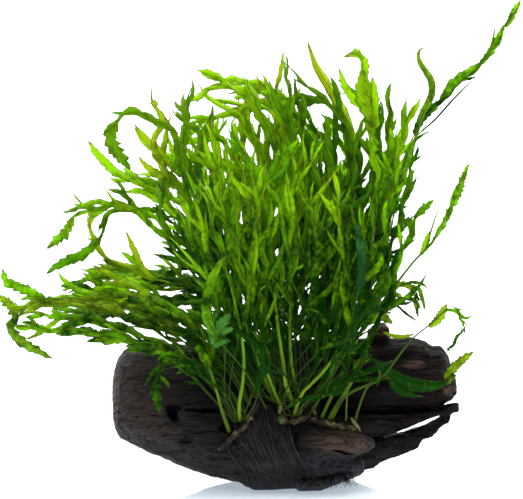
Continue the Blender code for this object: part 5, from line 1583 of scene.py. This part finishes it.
frond("frond_front_left_dangling", DEEP, front_route(
    (-14.0, -80.5, 1.8), (-23, -69, -48), (-34, -57.5, -52), (-44, -53.5, -55), (-49, -58, -55),
    (-51, -68, -54), (-50, -76, -53)), 0.6, 4, 1.2, sisters=0, spacing=4.0, tone=0.85, blades=(
        (((-49, -57, -55), (-53, -60, -55), (-57.5, -67, -54)), 0.9, 1.0, 0, 0.9),
        (((-49, -60, -55), (-52.5, -66, -54), (-55, -72, -54)), 0.8, 1.0, 0, 0.8),
        (((-50, -62, -55), (-47, -65, -54), (-45.5, -68, -54)), 0.9, 1.0, 0, 1.1),
        (((-36, -57, -52), (-42, -52, -54), (-47, -51.5, -55), (-52, -55, -55)), 1.1, 1.0, 0, 0.9),
        (((-50, -64, -55), (-51.5, -70, -54), (-51, -76, -53.5), (-50, -80.5, -53)), 1.8, 1.4, 0, 0.9)))
frond("frond_front_plain_leaf", GREEN, front_route(
    (2.5, -79.0, 4.0), (-8, -60, -60), (-21, -44, -70), (-26.5, -33, -75), (-25.5, -20, -76),
    (-21.5, -9, -76), (-17, -3, -76)), 0.62, 0, 0, 0, 0.85, tone=0.75)
frond("frond_front_blue_leaf", BLUISH, front_route(
    (24.0, -82.0, 4.5), (38, -56, -60), (46, -26, -68), (49, -8, -72), (46.5, 13, -75)),
    0.78, 0, 0, 0, 0.72, tone=0.45)

# Setting: a pale glossy floor, white surroundings that are brighter behind the plant, soft light
# from above, and the camera of the front view. None of it belongs to the part.

CAMERA_DISTANCE = 3.0
FRONT_LIGHT = 0.42
BACK_LIGHT = 2.0
PICTURE_WIDTH = 261.5 * MM
SENSOR = 36.0
FLOOR_LIGHT = (0.74, 0.88, 1.0)


def floor():
    """A white glossy plate, lit a little from below."""
    bm = bmesh.new()
    bmesh.ops.create_grid(bm, x_segments=1, y_segments=1, size=6.0)
    piece = in_scene("floor", bm)
    surface, tree, shader = new_material("pale_floor", 0.03, (0.90, 0.93, 0.96))
    shader.inputs["Emission Color"].default_value = (*FLOOR_LIGHT, 1.0)
    shader.inputs["Emission Strength"].default_value = 0.45
    piece.data.materials.append(surface)


def soft_light(name, place, target, size, power):
    """A round area lamp that points at a target."""
    data = bpy.data.lights.new(name, "AREA")
    data.shape = "DISK"
    data.size = size
    data.energy = power
    lamp = bpy.data.objects.new(name, data)
    lamp.location = place
    lamp.rotation_euler = (target - place).to_track_quat("-Z", "Y").to_euler()
    bpy.context.scene.collection.objects.link(lamp)


def surroundings():
    """White light from all round, stronger from behind, which shines through the leaves."""
    world = bpy.data.worlds.new("white_surroundings")
    world.use_nodes = True
    tree = world.node_tree
    toward_back = parts_of(tree, add_node(tree, "ShaderNodeTexCoord").outputs["Generated"])[1]
    background = tree.nodes["Background"]
    tree.links.new(
        ranged(tree, toward_back, -0.5, 0.5, FRONT_LIGHT, BACK_LIGHT), background.inputs["Strength"])
    background.inputs["Color"].default_value = (1.0, 1.0, 1.0, 1.0)
    bpy.context.scene.world = world


def front_camera(target):
    """The camera of the front view, from a little above level."""
    data = bpy.data.cameras.new("front_camera")
    data.sensor_width = SENSOR
    data.lens = SENSOR * CAMERA_DISTANCE / PICTURE_WIDTH
    data.clip_end = 20.0
    camera = bpy.data.objects.new("front_camera", data)
    camera.location = target - VIEW * CAMERA_DISTANCE
    camera.rotation_euler = VIEW.to_track_quat("-Z", "Y").to_euler()
    bpy.context.scene.collection.objects.link(camera)
    bpy.context.scene.camera = camera


middle = spot(0.0, 0.0, 0.0)
floor()
surroundings()
soft_light("overhead", Vector((0.0, 0.1, 1.6)), middle, 1.6, 34.0)
soft_light("left_front", Vector((-0.9, -0.7, 0.9)), middle, 0.35, 3.0)
front_camera(middle)
bpy.context.scene.view_settings.view_transform = "Standard"
